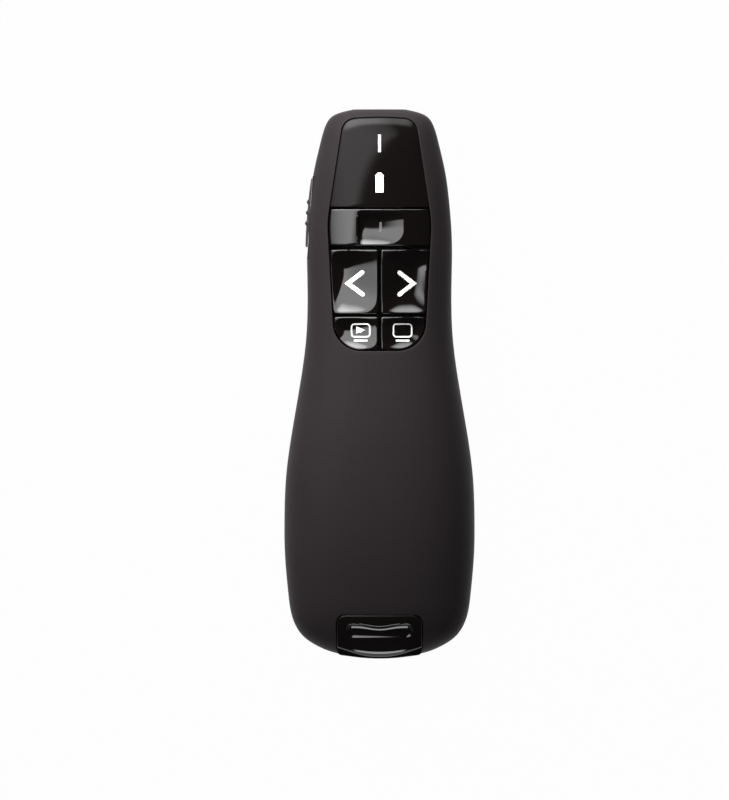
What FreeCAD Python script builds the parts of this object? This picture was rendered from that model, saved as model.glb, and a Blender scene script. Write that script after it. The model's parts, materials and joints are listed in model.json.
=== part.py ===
import FreeCAD, Part
import math
import os

os.makedirs("parts", exist_ok=True)
V = FreeCAD.Vector
ALONG_X = V(1, 0, 0)
ALONG_Y = V(0, 1, 0)
ALONG_Z = V(0, 0, 1)

# The clicker lies on its belly with the keys up and the laser nose towards +Y.
# z = 0 is the flat of the belly, and the halves of the case part at seam_z.
half_length = 57.75
palm_half_width = 20.0
seam_z = 12.5
top_rise = 14.5
belly_drop = 12.85
section_fullness_share = 0.68
overrun = 90.0

# Each row: place along the length, half width, rise of the top, drop of the belly
body_shares = (
    (-0.985, 0.350, 0.241, 0.249),
    (-0.975, 0.510, 0.393, 0.412),
    (-0.952, 0.665, 0.538, 0.584),
    (-0.918, 0.805, 0.655, 0.716),
    (-0.862, 0.905, 0.752, 0.833),
    (-0.762, 0.960, 0.855, 0.926),
    (-0.606, 0.997, 0.952, 0.981),
    (-0.485, 1.000, 0.990, 0.996),
    (-0.346, 0.985, 1.000, 1.000),
    (-0.173, 0.920, 0.972, 0.996),
    (0.000, 0.835, 0.903, 0.973),
    (0.173, 0.770, 0.821, 0.903),
    (0.346, 0.757, 0.752, 0.786),
    (0.519, 0.762, 0.710, 0.669),
    (0.658, 0.735, 0.683, 0.599),
    (0.779, 0.688, 0.648, 0.553),
    (0.874, 0.625, 0.600, 0.506),
    (0.935, 0.575, 0.538, 0.451),
    (0.970, 0.515, 0.462, 0.389),
    (0.990, 0.400, 0.352, 0.311),
    (1.000, 0.275, 0.228, 0.241),
)

# Case halves
wall = 2.0
seam_gap = 0.12
lip_height = 1.5
lip_gap = 0.08
boss_radius = 2.4
rear_screw_head_z = 6.0
front_screw_head_z = 9.0
screw_head_radius = 1.6
screw_head_height = 1.3
screw_shank_radius = 0.9
screw_length = 9.0
screw_slot_width = 0.5
screw_fit = 0.05
rear_boss_x = 14.8
rear_boss_y = -40.0
front_boss_x = 8.0
front_boss_y = 47.0

# Deck: the recess in the top that holds the inlay plate and the five keys
deck_nose_y = 55.8
deck_nose_crown = 0.4
deck_nose_half_width = 7.65
deck_nose_radius = 3.1
deck_waist_y = 34.0
deck_waist_half_width = 11.0
deck_waist_radius = 25.0
deck_crown_radius = 40.0
deck_tail_y = 6.9
deck_tail_half_width = 9.5
deck_tail_radius = 6.0
plate_edge_y = 37.0
plate_gap = 0.12
plate_depth = 1.1
plate_sink = 0.10
collar_wall = 1.0
collar_low_z = 17.4

# Keys
key_gap = 0.18
key_sink = 0.30
key_row_gap = 0.75
key_low_row_gap = 0.50
key_middle_gap = 0.55
laser_key_low_y = 29.0
arrow_key_low_y = 14.65
key_skin = 1.6
key_skirt = 1.1
key_flange_reach = 0.7
key_flange_thickness = 0.6
key_flange_gap = 0.10
key_travel = 0.5
key_stem_radius = 1.6
arrow_dish_half_width = 4.1
arrow_dish_half_length = 5.9
arrow_dish_depth = 0.75
arrow_dish_tilt = 9.0
laser_dish_half_width = 4.9
laser_dish_depth = 0.9
low_dish_half_width = 3.9
low_dish_half_length = 2.9
low_dish_depth = 0.40
low_dish_tilt = 8.0
low_switch_x = 3.8
low_switch_y = 10.9
dish_steepness_share = 0.8

# Light windows in the inlay plate
bar_window_half_width = 0.35
bar_window_low_y = 48.7
bar_window_length = 3.65
cell_window_half_width = 1.0
cell_window_low_y = 40.2
cell_window_length = 4.2
cell_window_corner = 0.55
window_fit = 0.03
guide_lift = 0.25

# Main board, its switches and its lamps
board_top_z = 15.9
board_thickness = 1.0
board_half_width = 11.2
board_tail_y = 6.4
board_shoulder_y = 42.0
board_neck_y = 44.0
board_neck_half_width = 5.2
board_nose_y = 51.2
board_corner = 1.0
post_radius = 1.3
post_x = 9.4
post_front_y = 27.0
post_rear_y = 9.0
tact_size = 4.0
tact_height = 1.7
tact_well_depth = 1.15
plunger_radius = 1.1
plunger_fit = 0.15
plunger_rest_gap = 0.1
plunger_height = 1.3
lamp_length = 1.6
lamp_width = 1.0
lamp_height = 0.7
chip_size = 5.0
chip_height = 0.9
chip_x = 4.5
chip_y = 19.0
crystal_length = 4.8
crystal_radius = 1.0
crystal_x = 5.0
crystal_y = 13.0
capacitor_radius = 2.0
capacitor_height = 5.2
capacitor_x = -5.0
capacitor_y = 14.0

# Laser pointer module in the nose
laser_z = 12.2
laser_rear_y = 36.6
laser_front_y = 51.4
barrel_radius = 2.5
barrel_wall = 0.5
lens_thickness = 1.0
lens_setback = 0.5
diode_radius = 1.65
diode_length = 2.4
diode_rim_radius = 1.95
diode_rim_length = 0.6
cradle_half_width = 3.6
cradle_thickness = 1.2
cradle_rear_y = 39.2
cradle_front_y = 47.4
cradle_fit = 0.05
window_radius = 2.2
window_flange_radius = 3.0
window_flange_rear_y = 52.9
window_flange_thickness = 0.9
window_front_y = 57.2
window_clearance = 0.06

# Slide power switch on the left side
knob_length = 14.6
knob_front_y = 43.3
knob_travel = 2.0
knob_end_gap = 0.12
knob_low_z = 10.2
knob_high_z = 14.8
knob_proud = 0.35
knob_slide_gap = 0.06
track_front_share = 0.7030
track_rear_share = 0.7615
rib_proud = 0.35
rib_width = 0.5
rib_first = 4.9
rib_pitch = 2.25
rib_count = 3
stem_length = 5.0
stem_half_height = 1.1
stem_play = 0.15
knob_inner_gap = 0.45
knob_inner_thickness = 0.8
knob_inner_overlap = 1.3
knob_inner_rise = 0.7
fork_length = 1.0
fork_prong = 0.7
fork_fit = 0.05
lever_width = 1.8
lever_height = 1.2
slide_switch_outer_x = -10.2
slide_switch_depth = 3.0
slide_switch_length = 8.5
lever_grip = 0.9

# Batteries, their tray and their door
cell_radius = 5.25
cell_length = 44.5
cell_spacing = 10.8
cell_lift = 2.5
cell_nub_radius = 1.9
cell_nub_length = 0.8
bay_front_y = 4.0
bay_length = 49.5
contact_thickness = 0.3
contact_half_width = 3.6
contact_half_height = 3.3
contact_fit = 0.03
spring_wire_radius = 0.3
spring_radius = 3.0
spring_arc_count = 16
spring_touch = 0.04
tray_half_width = 12.0
tray_wall = 1.0
tray_roof = 0.7
tray_cell_gap = 0.2
tray_skirt_z = 5.6
tray_foot_z = 3.3
tray_foot_half_width = 10.6
tray_end_wall = 1.2
tray_seat_gap = 0.15
door_half_width = 11.85
door_gap = 0.15
door_wall = 1.4
door_top_z = 3.85
door_tongue_half_width = 2.2
door_tongue_length = 2.0
door_tongue_low_z = 2.7
door_tongue_thickness = 0.6
door_catch_length = 4.0
door_catch_play = 0.15
door_catch_inner_x = 10.95
door_catch_outer_x = 12.75
door_catch_low_z = 4.4
door_catch_thickness = 0.8
door_catch_rear_y = -36.0
door_catch_pitch = 14.0
door_catch_count = 2
door_grip_width = 0.5
door_grip_depth = 0.35
door_grip_pitch = 1.1
door_grip_count = 5
door_grip_half_length = 4.5
door_grip_rear_y = -37.0

# Receiver that stows in the tail
notch_half_width = 9.15
notch_front_y = -48.5
notch_corner = 1.7
receiver_gap = 0.15
receiver_case_half_width = 8.9
receiver_case_front_y = -17.5
receiver_case_height = 5.9
receiver_corner = 2.0
receiver_tail_corner_y = -56.9
receiver_tail_bulge = 1.15
receiver_tail_bulge_radius = 40.0
receiver_tail_radius = 1.0
receiver_sink = 0.12
receiver_reach = 1.13
receiver_wall = 1.0
receiver_split_height = 3.0
scoop_half_width = 6.3
scoop_y = -52.5
scoop_radius = 1.9
scoop_depth = 1.0
rail_height = 3.0
rail_thickness = 1.0
plug_half_width = 6.0
plug_height = 4.5
plug_lift = 0.7
plug_length = 12.0
plug_root = 3.0
plug_sheet = 0.3
plug_fit = 0.03
tongue_height = 1.85
contact_strip_width = 1.0
contact_strip_height = 0.2
contact_strip_pitch = 2.3
contact_strip_count = 4
receiver_board_lift = 0.7
receiver_board_thickness = 0.8
receiver_board_fit = 0.1
receiver_chip_size = 5.0
receiver_chip_height = 0.9

laser_key_high_y = plate_edge_y - key_gap
arrow_key_high_y = laser_key_low_y - key_row_gap
low_key_high_y = arrow_key_low_y - key_low_row_gap
board_low_z = board_top_z - board_thickness
key_flange_high_z = collar_low_z - key_flange_gap
key_flange_low_z = key_flange_high_z - key_flange_thickness
plunger_low_z = board_top_z + tact_well_depth
plunger_high_z = plunger_low_z + plunger_height
cell_z = cell_lift + cell_radius
tray_roof_low_z = cell_z + cell_radius + tray_cell_gap
tray_top_z = tray_roof_low_z + tray_roof
bay_rear_y = bay_front_y - bay_length
receiver_low_z = tray_top_z + receiver_gap
receiver_split_z = receiver_low_z + receiver_split_height
plug_low_z = receiver_low_z + plug_lift

nodes = {}


def slab(x_low, x_high, y_low, y_high, z_low, z_high):
    """A box between its lowest and highest corners."""
    return Part.makeBox(x_high - x_low, y_high - y_low, z_high - z_low, V(x_low, y_low, z_low))


def middle_slab(half_width, y_low, y_high, z_low, z_high):
    """A box that is centred across the body."""
    return slab(-half_width, half_width, y_low, y_high, z_low, z_high)


def rod(radius, start, axis, length):
    return Part.makeCylinder(radius, length, start, axis)


def rounded(corners):
    """A flat outline from corners (x, y, radius), with tangent arcs at the corners."""
    arcs = []
    count = len(corners)
    for i, (x, y, radius) in enumerate(corners):
        here = V(x, y, 0)
        before = V(corners[i - 1][0], corners[i - 1][1], 0).sub(here).normalize()
        after = V(corners[(i + 1) % count][0], corners[(i + 1) % count][1], 0).sub(here).normalize()
        half_turn = before.getAngle(after) / 2
        reach = radius / math.tan(half_turn)
        middle = (before + after).normalize() * (radius / math.sin(half_turn) - radius)
        arcs.append((here + before * reach, here + middle, here + after * reach))
    edges = []
    for i, (start, middle, end) in enumerate(arcs):
        edges.append(Part.Arc(start, middle, end).toShape())
        edges.append(Part.makeLine(end, arcs[(i + 1) % count][0]))
    return Part.Face(Part.Wire(edges))


def rectangle(x_low, x_high, y_low, y_high):
    corners = [V(x_low, y_low, 0), V(x_high, y_low, 0), V(x_high, y_high, 0), V(x_low, y_high, 0)]
    return Part.Face(Part.makePolygon(corners + corners[:1]))


def column(face, z_low, z_high):
    """A flat outline raised between two heights."""
    raised = face.copy()
    raised.translate(V(0, 0, z_low))
    return raised.extrude(V(0, 0, z_high - z_low))


def mirrored(shape):
    return shape.mirror(V(0, 0, 0), ALONG_X)


def half_skin(rows, crowns, steps):
    """One half of the body's surface, from the parting plane over its crown and back."""
    crown = Part.BSplineCurve()
    crown.interpolate(Points=[V(row[1], row[0], z) for row, z in zip(rows, crowns)], Parameters=steps)
    foot = Part.BSplineCurve()
    foot.interpolate(Points=[V(row[1], row[0], seam_z) for row in rows], Parameters=steps)
    pairs = list(zip(crown.getPoles(), foot.getPoles()))
    share = section_fullness_share
    poles = [
        [V(f.x, f.y, f.z) for c, f in pairs],
        [V(f.x, f.y, f.z + share * (c.z - f.z)) for c, f in pairs],
        [V(share * c.x, c.y, c.z) for c, f in pairs],
        [V(-share * c.x, c.y, c.z) for c, f in pairs],
        [V(-f.x, f.y, f.z + share * (c.z - f.z)) for c, f in pairs],
        [V(-f.x, f.y, f.z) for c, f in pairs],
    ]
    surface = Part.BSplineSurface()
    surface.buildFromPolesMultsKnots(
        poles, [4, 2, 4], crown.getMultiplicities(), [0.0, 1.0, 2.0], crown.getKnots(),
        False, False, 3, crown.Degree)
    return surface


def form(inset):
    """The body's outer form, drawn in by inset all round."""
    rows = []
    for along, width, rise, drop in body_shares:
        rows.append((
            along * (half_length - inset),
            width * palm_half_width - inset,
            seam_z + rise * top_rise - inset,
            seam_z - drop * belly_drop + inset))
    steps = [0.0]
    for a, b in zip(rows, rows[1:]):
        steps.append(steps[-1] + math.hypot(a[0] - b[0], a[1] - b[1]))
    top = half_skin(rows, [row[2] for row in rows], steps)
    belly = half_skin(rows, [row[3] for row in rows], steps)
    faces = [top.toShape(), belly.toShape()]
    for step in (steps[0], steps[-1]):
        faces.append(Part.Face(Part.Wire([top.vIso(step).toShape(), belly.vIso(step).toShape()])))
    shell = Part.Shell(faces)
    shell.sewShape()
    solid = Part.Solid(shell)
    if solid.Volume < 0:
        solid.reverse()
    return solid


def deck_face(inset):
    """The outline of the recess for plate and keys, drawn in by inset."""
    half = [
        (deck_nose_half_width - inset, deck_nose_y - inset, deck_nose_radius - inset),
        (deck_waist_half_width - inset, deck_waist_y, deck_waist_radius),
        (deck_tail_half_width - inset, deck_tail_y + inset, deck_tail_radius - inset),
    ]
    crown = [(0, deck_nose_y + deck_nose_crown - inset, deck_crown_radius)]
    other = [(-x, y, radius) for x, y, radius in reversed(half)]
    return rounded(crown + half + other)


outer_form = form(0)
cavity_form = form(wall)
half_wall_form = form(wall / 2)
screw_places = (
    (rear_boss_x, rear_boss_y, rear_screw_head_z),
    (-rear_boss_x, rear_boss_y, rear_screw_head_z),
    (front_boss_x, front_boss_y, front_screw_head_z),
    (-front_boss_x, front_boss_y, front_screw_head_z),
)


# Knob track: a flat let into the left side along the chord of its curve
track_front_y = knob_front_y + knob_end_gap
track_front_x = -track_front_share * palm_half_width
track_rear_x = -track_rear_share * palm_half_width
track_length = knob_length + knob_travel + 2 * knob_end_gap
track_turn = math.asin((track_front_x - track_rear_x) / track_length)
track_rear_y = track_front_y - track_length * math.cos(track_turn)
knob_middle_z = (knob_low_z + knob_high_z) / 2
stem_rear = knob_travel + knob_end_gap + (knob_length - stem_length) / 2
lever_place = stem_rear + (stem_length - lever_width) / 2
knob_inner = wall + knob_inner_gap


def on_track(x_low, x_high, y_low, y_high, z_low, z_high):
    """A box in the knob track's own frame: x inwards from the flat, y along it to the nose."""
    box = slab(x_low, x_high, y_low, y_high, z_low, z_high)
    box.rotate(V(0, 0, 0), ALONG_Z, -math.degrees(track_turn))
    box.translate(V(track_rear_x, track_rear_y, 0))
    return box


def knob_track():
    flat = on_track(-overrun, 0, 0, track_length, knob_low_z - knob_end_gap, knob_high_z + knob_end_gap)
    window = on_track(
        -overrun, wall + knob_inner_gap,
        stem_rear - knob_travel - stem_play, stem_rear + stem_length + stem_play,
        knob_middle_z - stem_half_height - stem_play, knob_middle_z + stem_half_height + stem_play)
    return flat.fuse(window)


def power_switch_knob():
    low = knob_travel + knob_end_gap
    high = low + knob_length
    cap = form(-knob_proud).common(on_track(-overrun, -knob_slide_gap, low, high, knob_low_z, knob_high_z))
    for i in range(rib_count):
        middle = high - rib_first - i * rib_pitch
        slot = on_track(
            -overrun, -knob_slide_gap, middle - rib_width / 2, middle + rib_width / 2,
            knob_low_z, knob_high_z)
        cap = cap.fuse(form(-knob_proud - rib_proud).common(slot))
    stem_low_z = knob_middle_z - stem_half_height
    stem_high_z = knob_middle_z + stem_half_height
    stem = on_track(
        -knob_slide_gap - knob_proud / 2, knob_inner + knob_inner_thickness,
        stem_rear, stem_rear + stem_length, stem_low_z, stem_high_z)
    keeper = on_track(
        knob_inner, knob_inner + knob_inner_thickness,
        stem_rear - knob_inner_overlap, stem_rear + stem_length + knob_inner_overlap,
        stem_low_z - knob_inner_rise, stem_high_z + knob_inner_rise)
    knob = cap.fuse(stem).fuse(keeper)
    fork_low = lever_place - fork_fit - fork_prong
    fork_high = lever_place + lever_width + fork_fit + fork_prong
    fork = on_track(
        knob_inner + knob_inner_thickness, knob_inner + knob_inner_thickness + fork_length,
        fork_low, fork_high, stem_low_z, stem_high_z)
    gap = on_track(
        knob_inner + knob_inner_thickness, knob_inner + knob_inner_thickness + fork_length,
        lever_place - fork_fit, lever_place + lever_width + fork_fit, stem_low_z, stem_high_z)
    return knob.fuse(fork.cut(gap)).removeSplitter()


def lever_span():
    """The lever's box, from inside the fork to inside the switch body."""
    low = knob_inner + knob_inner_thickness + fork_fit
    high = slide_switch_outer_x - track_rear_x + lever_grip
    return low, high


def slide_switch_lever():
    low, high = lever_span()
    return on_track(
        low, high, lever_place, lever_place + lever_width,
        knob_middle_z - lever_height / 2, knob_middle_z + lever_height / 2)


def slide_switch_body():
    low, high = lever_span()
    middle_y = track_rear_y + (lever_place - knob_travel / 2) * math.cos(track_turn)
    body = slab(
        slide_switch_outer_x, slide_switch_outer_x + slide_switch_depth,
        middle_y - slide_switch_length / 2, middle_y + slide_switch_length / 2,
        knob_middle_z - lever_height, board_low_z)
    slot = on_track(
        low, high + 2 * stem_play, lever_place - knob_travel - stem_play,
        lever_place + lever_width + stem_play,
        knob_middle_z - lever_height / 2 - stem_play, knob_middle_z + lever_height / 2 + stem_play)
    return body.cut(slot)


def screw_boss(x, y, z_low, z_high):
    return rod(boss_radius, V(x, y, z_low), ALONG_Z, z_high - z_low).common(half_wall_form)


def nose_bore():
    """The laser's way out through the nose, with the pocket for the window's flange."""
    bore = rod(window_radius + window_clearance, V(0, window_flange_rear_y, laser_z), ALONG_Y, overrun)
    pocket = rod(
        window_flange_radius + window_clearance, V(0, laser_front_y, laser_z), ALONG_Y,
        window_flange_rear_y + window_flange_thickness + window_clearance - laser_front_y)
    return bore.fuse(pocket)


def notch():
    """The open notch in the tail that the receiver's end fills."""
    face = rounded([
        (-notch_half_width, notch_front_y, notch_corner),
        (notch_half_width, notch_front_y, notch_corner),
        (notch_half_width, -overrun, notch_corner),
        (-notch_half_width, -overrun, notch_corner),
    ])
    return column(face, tray_top_z, overrun)


def plate_pocket():
    face = deck_face(0).common(rectangle(-overrun, overrun, plate_edge_y, overrun))
    return column(face, seam_z, overrun).cut(form(plate_depth))


def key_opening():
    face = deck_face(0).common(rectangle(-overrun, overrun, -overrun, plate_edge_y))
    return column(face, seam_z, overrun)


def bar_window_face(grow):
    return rectangle(
        -bar_window_half_width - grow, bar_window_half_width + grow,
        bar_window_low_y - grow, bar_window_low_y + bar_window_length + grow)


def cell_window_face(grow):
    """A battery sign: an upright bar with its upper corners cut off."""
    half = cell_window_half_width + grow
    low = cell_window_low_y - grow
    high = cell_window_low_y + cell_window_length + grow
    points = [
        V(-half, low, 0), V(half, low, 0), V(half, high - cell_window_corner, 0),
        V(half - cell_window_corner, high, 0), V(cell_window_corner - half, high, 0),
        V(-half, high - cell_window_corner, 0),
    ]
    return Part.Face(Part.makePolygon(points + points[:1]))


def light_wells():
    well = column(bar_window_face(window_fit), seam_z, overrun)
    return well.fuse(column(cell_window_face(window_fit), seam_z, overrun))


def upper_shell():
    above = middle_slab(overrun, -overrun, overrun, seam_z + seam_gap, overrun)
    rebate = middle_slab(overrun, -overrun, overrun, seam_z, seam_z + lip_height + lip_gap)
    shell = outer_form.common(above).cut(half_wall_form.common(rebate)).cut(cavity_form)
    collar_face = deck_face(-collar_wall).common(
        rectangle(-overrun, overrun, -overrun, plate_edge_y + collar_wall))
    shell = shell.fuse(column(collar_face, collar_low_z, overrun).common(half_wall_form))
    for x, y, head_z in screw_places:
        shell = shell.fuse(screw_boss(x, y, seam_z + seam_gap, overrun))
        pilot = rod(
            screw_shank_radius + screw_fit, V(x, y, seam_z), ALONG_Z,
            head_z + screw_length + screw_fit - seam_z)
        shell = shell.cut(pilot)
    for cutter in (key_opening(), plate_pocket(), light_wells(), notch(), nose_bore(), knob_track()):
        shell = shell.cut(cutter)
    return shell


def laser_cradle(y):
    rib = middle_slab(cradle_half_width, y, y + cradle_thickness, 0, laser_z)
    rib = rib.cut(rod(barrel_radius + cradle_fit, V(0, y, laser_z), ALONG_Y, cradle_thickness))
    return rib.common(half_wall_form)


def board_post(x, y):
    return rod(post_radius, V(x, y, 0), ALONG_Z, board_low_z).common(half_wall_form)


def lower_shell():
    below = middle_slab(overrun, -overrun, overrun, 0, seam_z)
    lip = form(wall / 2 + lip_gap).common(
        middle_slab(overrun, -overrun, overrun, seam_z - lip_height, seam_z + lip_height))
    shell = outer_form.common(below).fuse(lip).cut(cavity_form)
    for y in (cradle_rear_y, cradle_front_y):
        shell = shell.fuse(laser_cradle(y))
    for x in (-post_x, post_x):
        for y in (post_rear_y, post_front_y):
            shell = shell.fuse(board_post(x, y))
    for x, y, head_z in screw_places:
        shell = shell.fuse(screw_boss(x, y, 0, seam_z))
        shell = shell.cut(rod(screw_shank_radius + screw_fit, V(x, y, 0), ALONG_Z, seam_z))
        shell = shell.cut(rod(screw_head_radius + screw_fit, V(x, y, 0), ALONG_Z, head_z))
    doorway = middle_slab(
        door_half_width + door_gap, -overrun, bay_front_y + door_gap, -overrun, door_top_z + door_gap)
    catch_way = slab(
        door_catch_inner_x - door_catch_play, door_catch_outer_x + door_catch_play,
        -overrun, door_catch_rear_y, 0, door_catch_low_z + door_catch_thickness + door_catch_play)
    lip_notch = middle_slab(notch_half_width, -overrun, notch_front_y, tray_top_z, overrun)
    for cutter in (doorway, catch_way, mirrored(catch_way), lip_notch, nose_bore(), knob_track()):
        shell = shell.cut(cutter)
    return shell


def battery_door():
    strip = middle_slab(door_half_width, -overrun, bay_front_y, 0, door_top_z)
    door = outer_form.cut(form(door_wall)).common(strip)
    root = middle_slab(
        door_tongue_half_width, bay_front_y - door_tongue_length, bay_front_y,
        door_wall / 2, door_tongue_low_z + door_tongue_thickness)
    tongue = middle_slab(
        door_tongue_half_width, bay_front_y - door_tongue_length, bay_front_y + door_tongue_length,
        door_tongue_low_z, door_tongue_low_z + door_tongue_thickness)
    door = door.fuse(root).fuse(tongue)
    for i in range(door_catch_count):
        y = door_catch_rear_y + i * door_catch_pitch
        leg = slab(
            door_catch_inner_x, door_half_width, y, y + door_catch_length,
            door_wall, door_catch_low_z + door_catch_thickness)
        hook = slab(
            door_catch_inner_x, door_catch_outer_x, y, y + door_catch_length,
            door_catch_low_z, door_catch_low_z + door_catch_thickness)
        catch = leg.fuse(hook)
        door = door.fuse(catch).fuse(mirrored(catch))
    for i in range(door_grip_count):
        y = door_grip_rear_y + i * door_grip_pitch
        door = door.cut(middle_slab(door_grip_half_length, y, y + door_grip_width, 0, door_grip_depth))
    return door.removeSplitter()


def battery_tray():
    rear = bay_rear_y - tray_end_wall
    front = bay_front_y + tray_end_wall
    tray = middle_slab(tray_half_width, rear, front, tray_roof_low_z, tray_top_z)
    side = slab(tray_half_width - tray_wall, tray_half_width, rear, front, tray_skirt_z, tray_top_z)
    tray = tray.fuse(side).fuse(mirrored(side))
    for y in (rear, bay_front_y):
        tray = tray.fuse(middle_slab(tray_half_width, y, y + tray_end_wall, tray_skirt_z, tray_top_z))
        tray = tray.fuse(middle_slab(tray_foot_half_width, y, y + tray_end_wall, tray_foot_z, tray_top_z))
    rail_x = receiver_case_half_width + receiver_gap
    rail = slab(
        rail_x, rail_x + rail_thickness, notch_front_y + wall, receiver_case_front_y,
        tray_roof_low_z, tray_top_z + rail_height)
    tray = tray.fuse(rail).fuse(mirrored(rail))
    return tray.removeSplitter().common(form(wall + tray_seat_gap))


def indicator_plate():
    face = deck_face(plate_gap).common(rectangle(-overrun, overrun, plate_edge_y + plate_gap, overrun))
    plate = column(face, seam_z, overrun).common(form(plate_sink)).cut(form(plate_depth))
    return plate.cut(light_wells())


def light_guide(face):
    guide = column(face, board_top_z + lamp_height + guide_lift, overrun)
    return guide.common(form(plate_sink))


def height_of(surface_form, x, y):
    """Where an upright line at (x, y) leaves the top of a form."""
    return surface_form.common(Part.makeLine(V(x, y, seam_z), V(x, y, overrun))).Vertexes[-1].Z


def dish(x, y, half_width, half_length, depth, tilt):
    """The thumb hollow of a key, part of a flattened ball that leans with the key's top."""
    share = dish_steepness_share
    rise = math.sqrt(1 - share * share)
    ball = Part.makeSphere(1)
    scale = FreeCAD.Matrix()
    scale.scale(V(half_width / share, half_length / share, depth / (1 - rise)))
    ball = ball.transformGeometry(scale)
    ball.translate(V(0, 0, rise * depth / (1 - rise)))
    ball.rotate(V(0, 0, 0), ALONG_Y, tilt)
    ball.translate(V(x, y, height_of(form(key_sink), x, y)))
    return ball


def key(x_low, x_high, y_low, y_high, flange_y_low, flange_y_high, plunger_x, plunger_y):
    """A key cap with a hollow skirt, a stem over its switch and a flange under the collar."""
    face = deck_face(key_gap).common(rectangle(x_low, x_high, y_low, y_high))
    cap = column(face, key_flange_low_z, overrun).common(form(key_sink))
    flange_face = deck_face(-key_flange_reach).common(
        rectangle(x_low, x_high, flange_y_low, flange_y_high))
    flange = column(flange_face, key_flange_low_z, key_flange_high_z)
    cap = cap.fuse(flange.common(form(wall + key_gap)))
    hollow_face = deck_face(key_gap + key_skirt).common(
        rectangle(x_low + key_skirt, x_high - key_skirt, y_low + key_skirt, y_high - key_skirt))
    cap = cap.cut(column(hollow_face, seam_z, overrun).common(form(key_sink + key_skin)))
    stem = rod(key_stem_radius, V(plunger_x, plunger_y, plunger_high_z), ALONG_Z, overrun)
    return cap.fuse(stem.common(form(key_sink + key_skin / 2)))


def plunger(x, y):
    return rod(plunger_radius, V(x, y, plunger_low_z), ALONG_Z, plunger_height)


half_middle_gap = key_middle_gap / 2
laser_key_y = (laser_key_low_y + laser_key_high_y) / 2
arrow_key_y = (arrow_key_low_y + arrow_key_high_y) / 2
low_key_y = (deck_tail_y + key_gap + low_key_high_y) / 2
arrow_key_x = (half_middle_gap + deck_waist_half_width - key_gap) / 2
low_key_x = (half_middle_gap + deck_tail_half_width - key_gap) / 2
switch_places = {
    "laser": (0, laser_key_y),
    "back": (-arrow_key_x, arrow_key_y),
    "forward": (arrow_key_x, arrow_key_y),
    "slideshow": (-low_switch_x, low_switch_y),
    "blank_screen": (low_switch_x, low_switch_y),
}


def laser_key():
    x, y = switch_places["laser"]
    cap = key(
        -overrun, overrun, laser_key_low_y, laser_key_high_y,
        laser_key_low_y, laser_key_high_y + key_flange_reach, x, y)
    half_chord = laser_dish_half_width
    radius = (half_chord ** 2 + laser_dish_depth ** 2) / (2 * laser_dish_depth)
    top_z = height_of(form(key_sink), x, y)
    trough = rod(
        radius, V(0, laser_key_low_y + key_skirt / 2, top_z + radius - laser_dish_depth), ALONG_Y,
        laser_key_high_y - laser_key_low_y - key_skirt)
    return cap.cut(trough)


def forward_key():
    x, y = switch_places["forward"]
    cap = key(
        half_middle_gap, overrun, arrow_key_low_y, arrow_key_high_y,
        arrow_key_low_y, arrow_key_high_y, x, y)
    return cap.cut(dish(
        x, y, arrow_dish_half_width, arrow_dish_half_length, arrow_dish_depth, arrow_dish_tilt))


def blank_screen_key():
    x, y = switch_places["blank_screen"]
    cap = key(
        half_middle_gap, overrun, -overrun, low_key_high_y,
        -overrun, low_key_high_y, x, y)
    return cap.cut(dish(
        low_key_x, low_key_y, low_dish_half_width, low_dish_half_length, low_dish_depth,
        low_dish_tilt))


def tact_switch_bodies():
    bodies = []
    for x, y in switch_places.values():
        body = slab(
            x - tact_size / 2, x + tact_size / 2, y - tact_size / 2, y + tact_size / 2,
            board_top_z, board_top_z + tact_height)
        well = rod(
            plunger_radius + plunger_fit, V(x, y, plunger_low_z - key_travel - plunger_rest_gap), ALONG_Z,
            tact_height)
        bodies.append(body.cut(well))
    return Part.Compound(bodies)


def main_board():
    half = [
        (board_half_width, board_tail_y, board_corner),
        (board_half_width, board_shoulder_y, board_corner),
        (board_neck_half_width, board_neck_y, board_corner),
        (board_neck_half_width, board_nose_y, board_corner),
    ]
    other = [(-x, y, radius) for x, y, radius in reversed(half)]
    return column(rounded(half + other), board_low_z, board_top_z)


def indicator_leds():
    lamps = []
    bar_y = min(
        bar_window_low_y + bar_window_length / 2, board_nose_y - board_corner - lamp_length / 2)
    for y in (bar_y, cell_window_low_y + cell_window_length / 2):
        lamps.append(middle_slab(
            lamp_width / 2, y - lamp_length / 2, y + lamp_length / 2,
            board_top_z, board_top_z + lamp_height))
    return Part.Compound(lamps)


def radio_chip():
    return slab(
        chip_x - chip_size / 2, chip_x + chip_size / 2, chip_y - chip_size / 2, chip_y + chip_size / 2,
        board_low_z - chip_height, board_low_z)


def crystal():
    can = rod(
        crystal_radius, V(crystal_x - crystal_length / 2, crystal_y, board_low_z - crystal_radius),
        ALONG_X, crystal_length)
    foot = slab(
        crystal_x - crystal_length / 2, crystal_x + crystal_length / 2,
        crystal_y - crystal_radius, crystal_y + crystal_radius, board_low_z - crystal_radius, board_low_z)
    return can.fuse(foot).removeSplitter()


def capacitor():
    return rod(
        capacitor_radius, V(capacitor_x, capacitor_y, board_low_z - capacitor_height), ALONG_Z,
        capacitor_height)


def laser_barrel():
    barrel = rod(barrel_radius, V(0, laser_rear_y, laser_z), ALONG_Y, laser_front_y - laser_rear_y)
    rear_bore = rod(diode_rim_radius, V(0, laser_rear_y, laser_z), ALONG_Y, diode_rim_length)
    middle_bore = rod(diode_radius, V(0, laser_rear_y, laser_z), ALONG_Y, laser_front_y - laser_rear_y)
    front_bore = rod(
        barrel_radius - barrel_wall, V(0, laser_front_y - lens_setback - lens_thickness, laser_z),
        ALONG_Y, lens_setback + lens_thickness)
    return barrel.cut(rear_bore).cut(middle_bore).cut(front_bore)


def laser_lens():
    rear = laser_front_y - lens_setback - lens_thickness
    return rod(barrel_radius - barrel_wall, V(0, rear, laser_z), ALONG_Y, lens_thickness)


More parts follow.
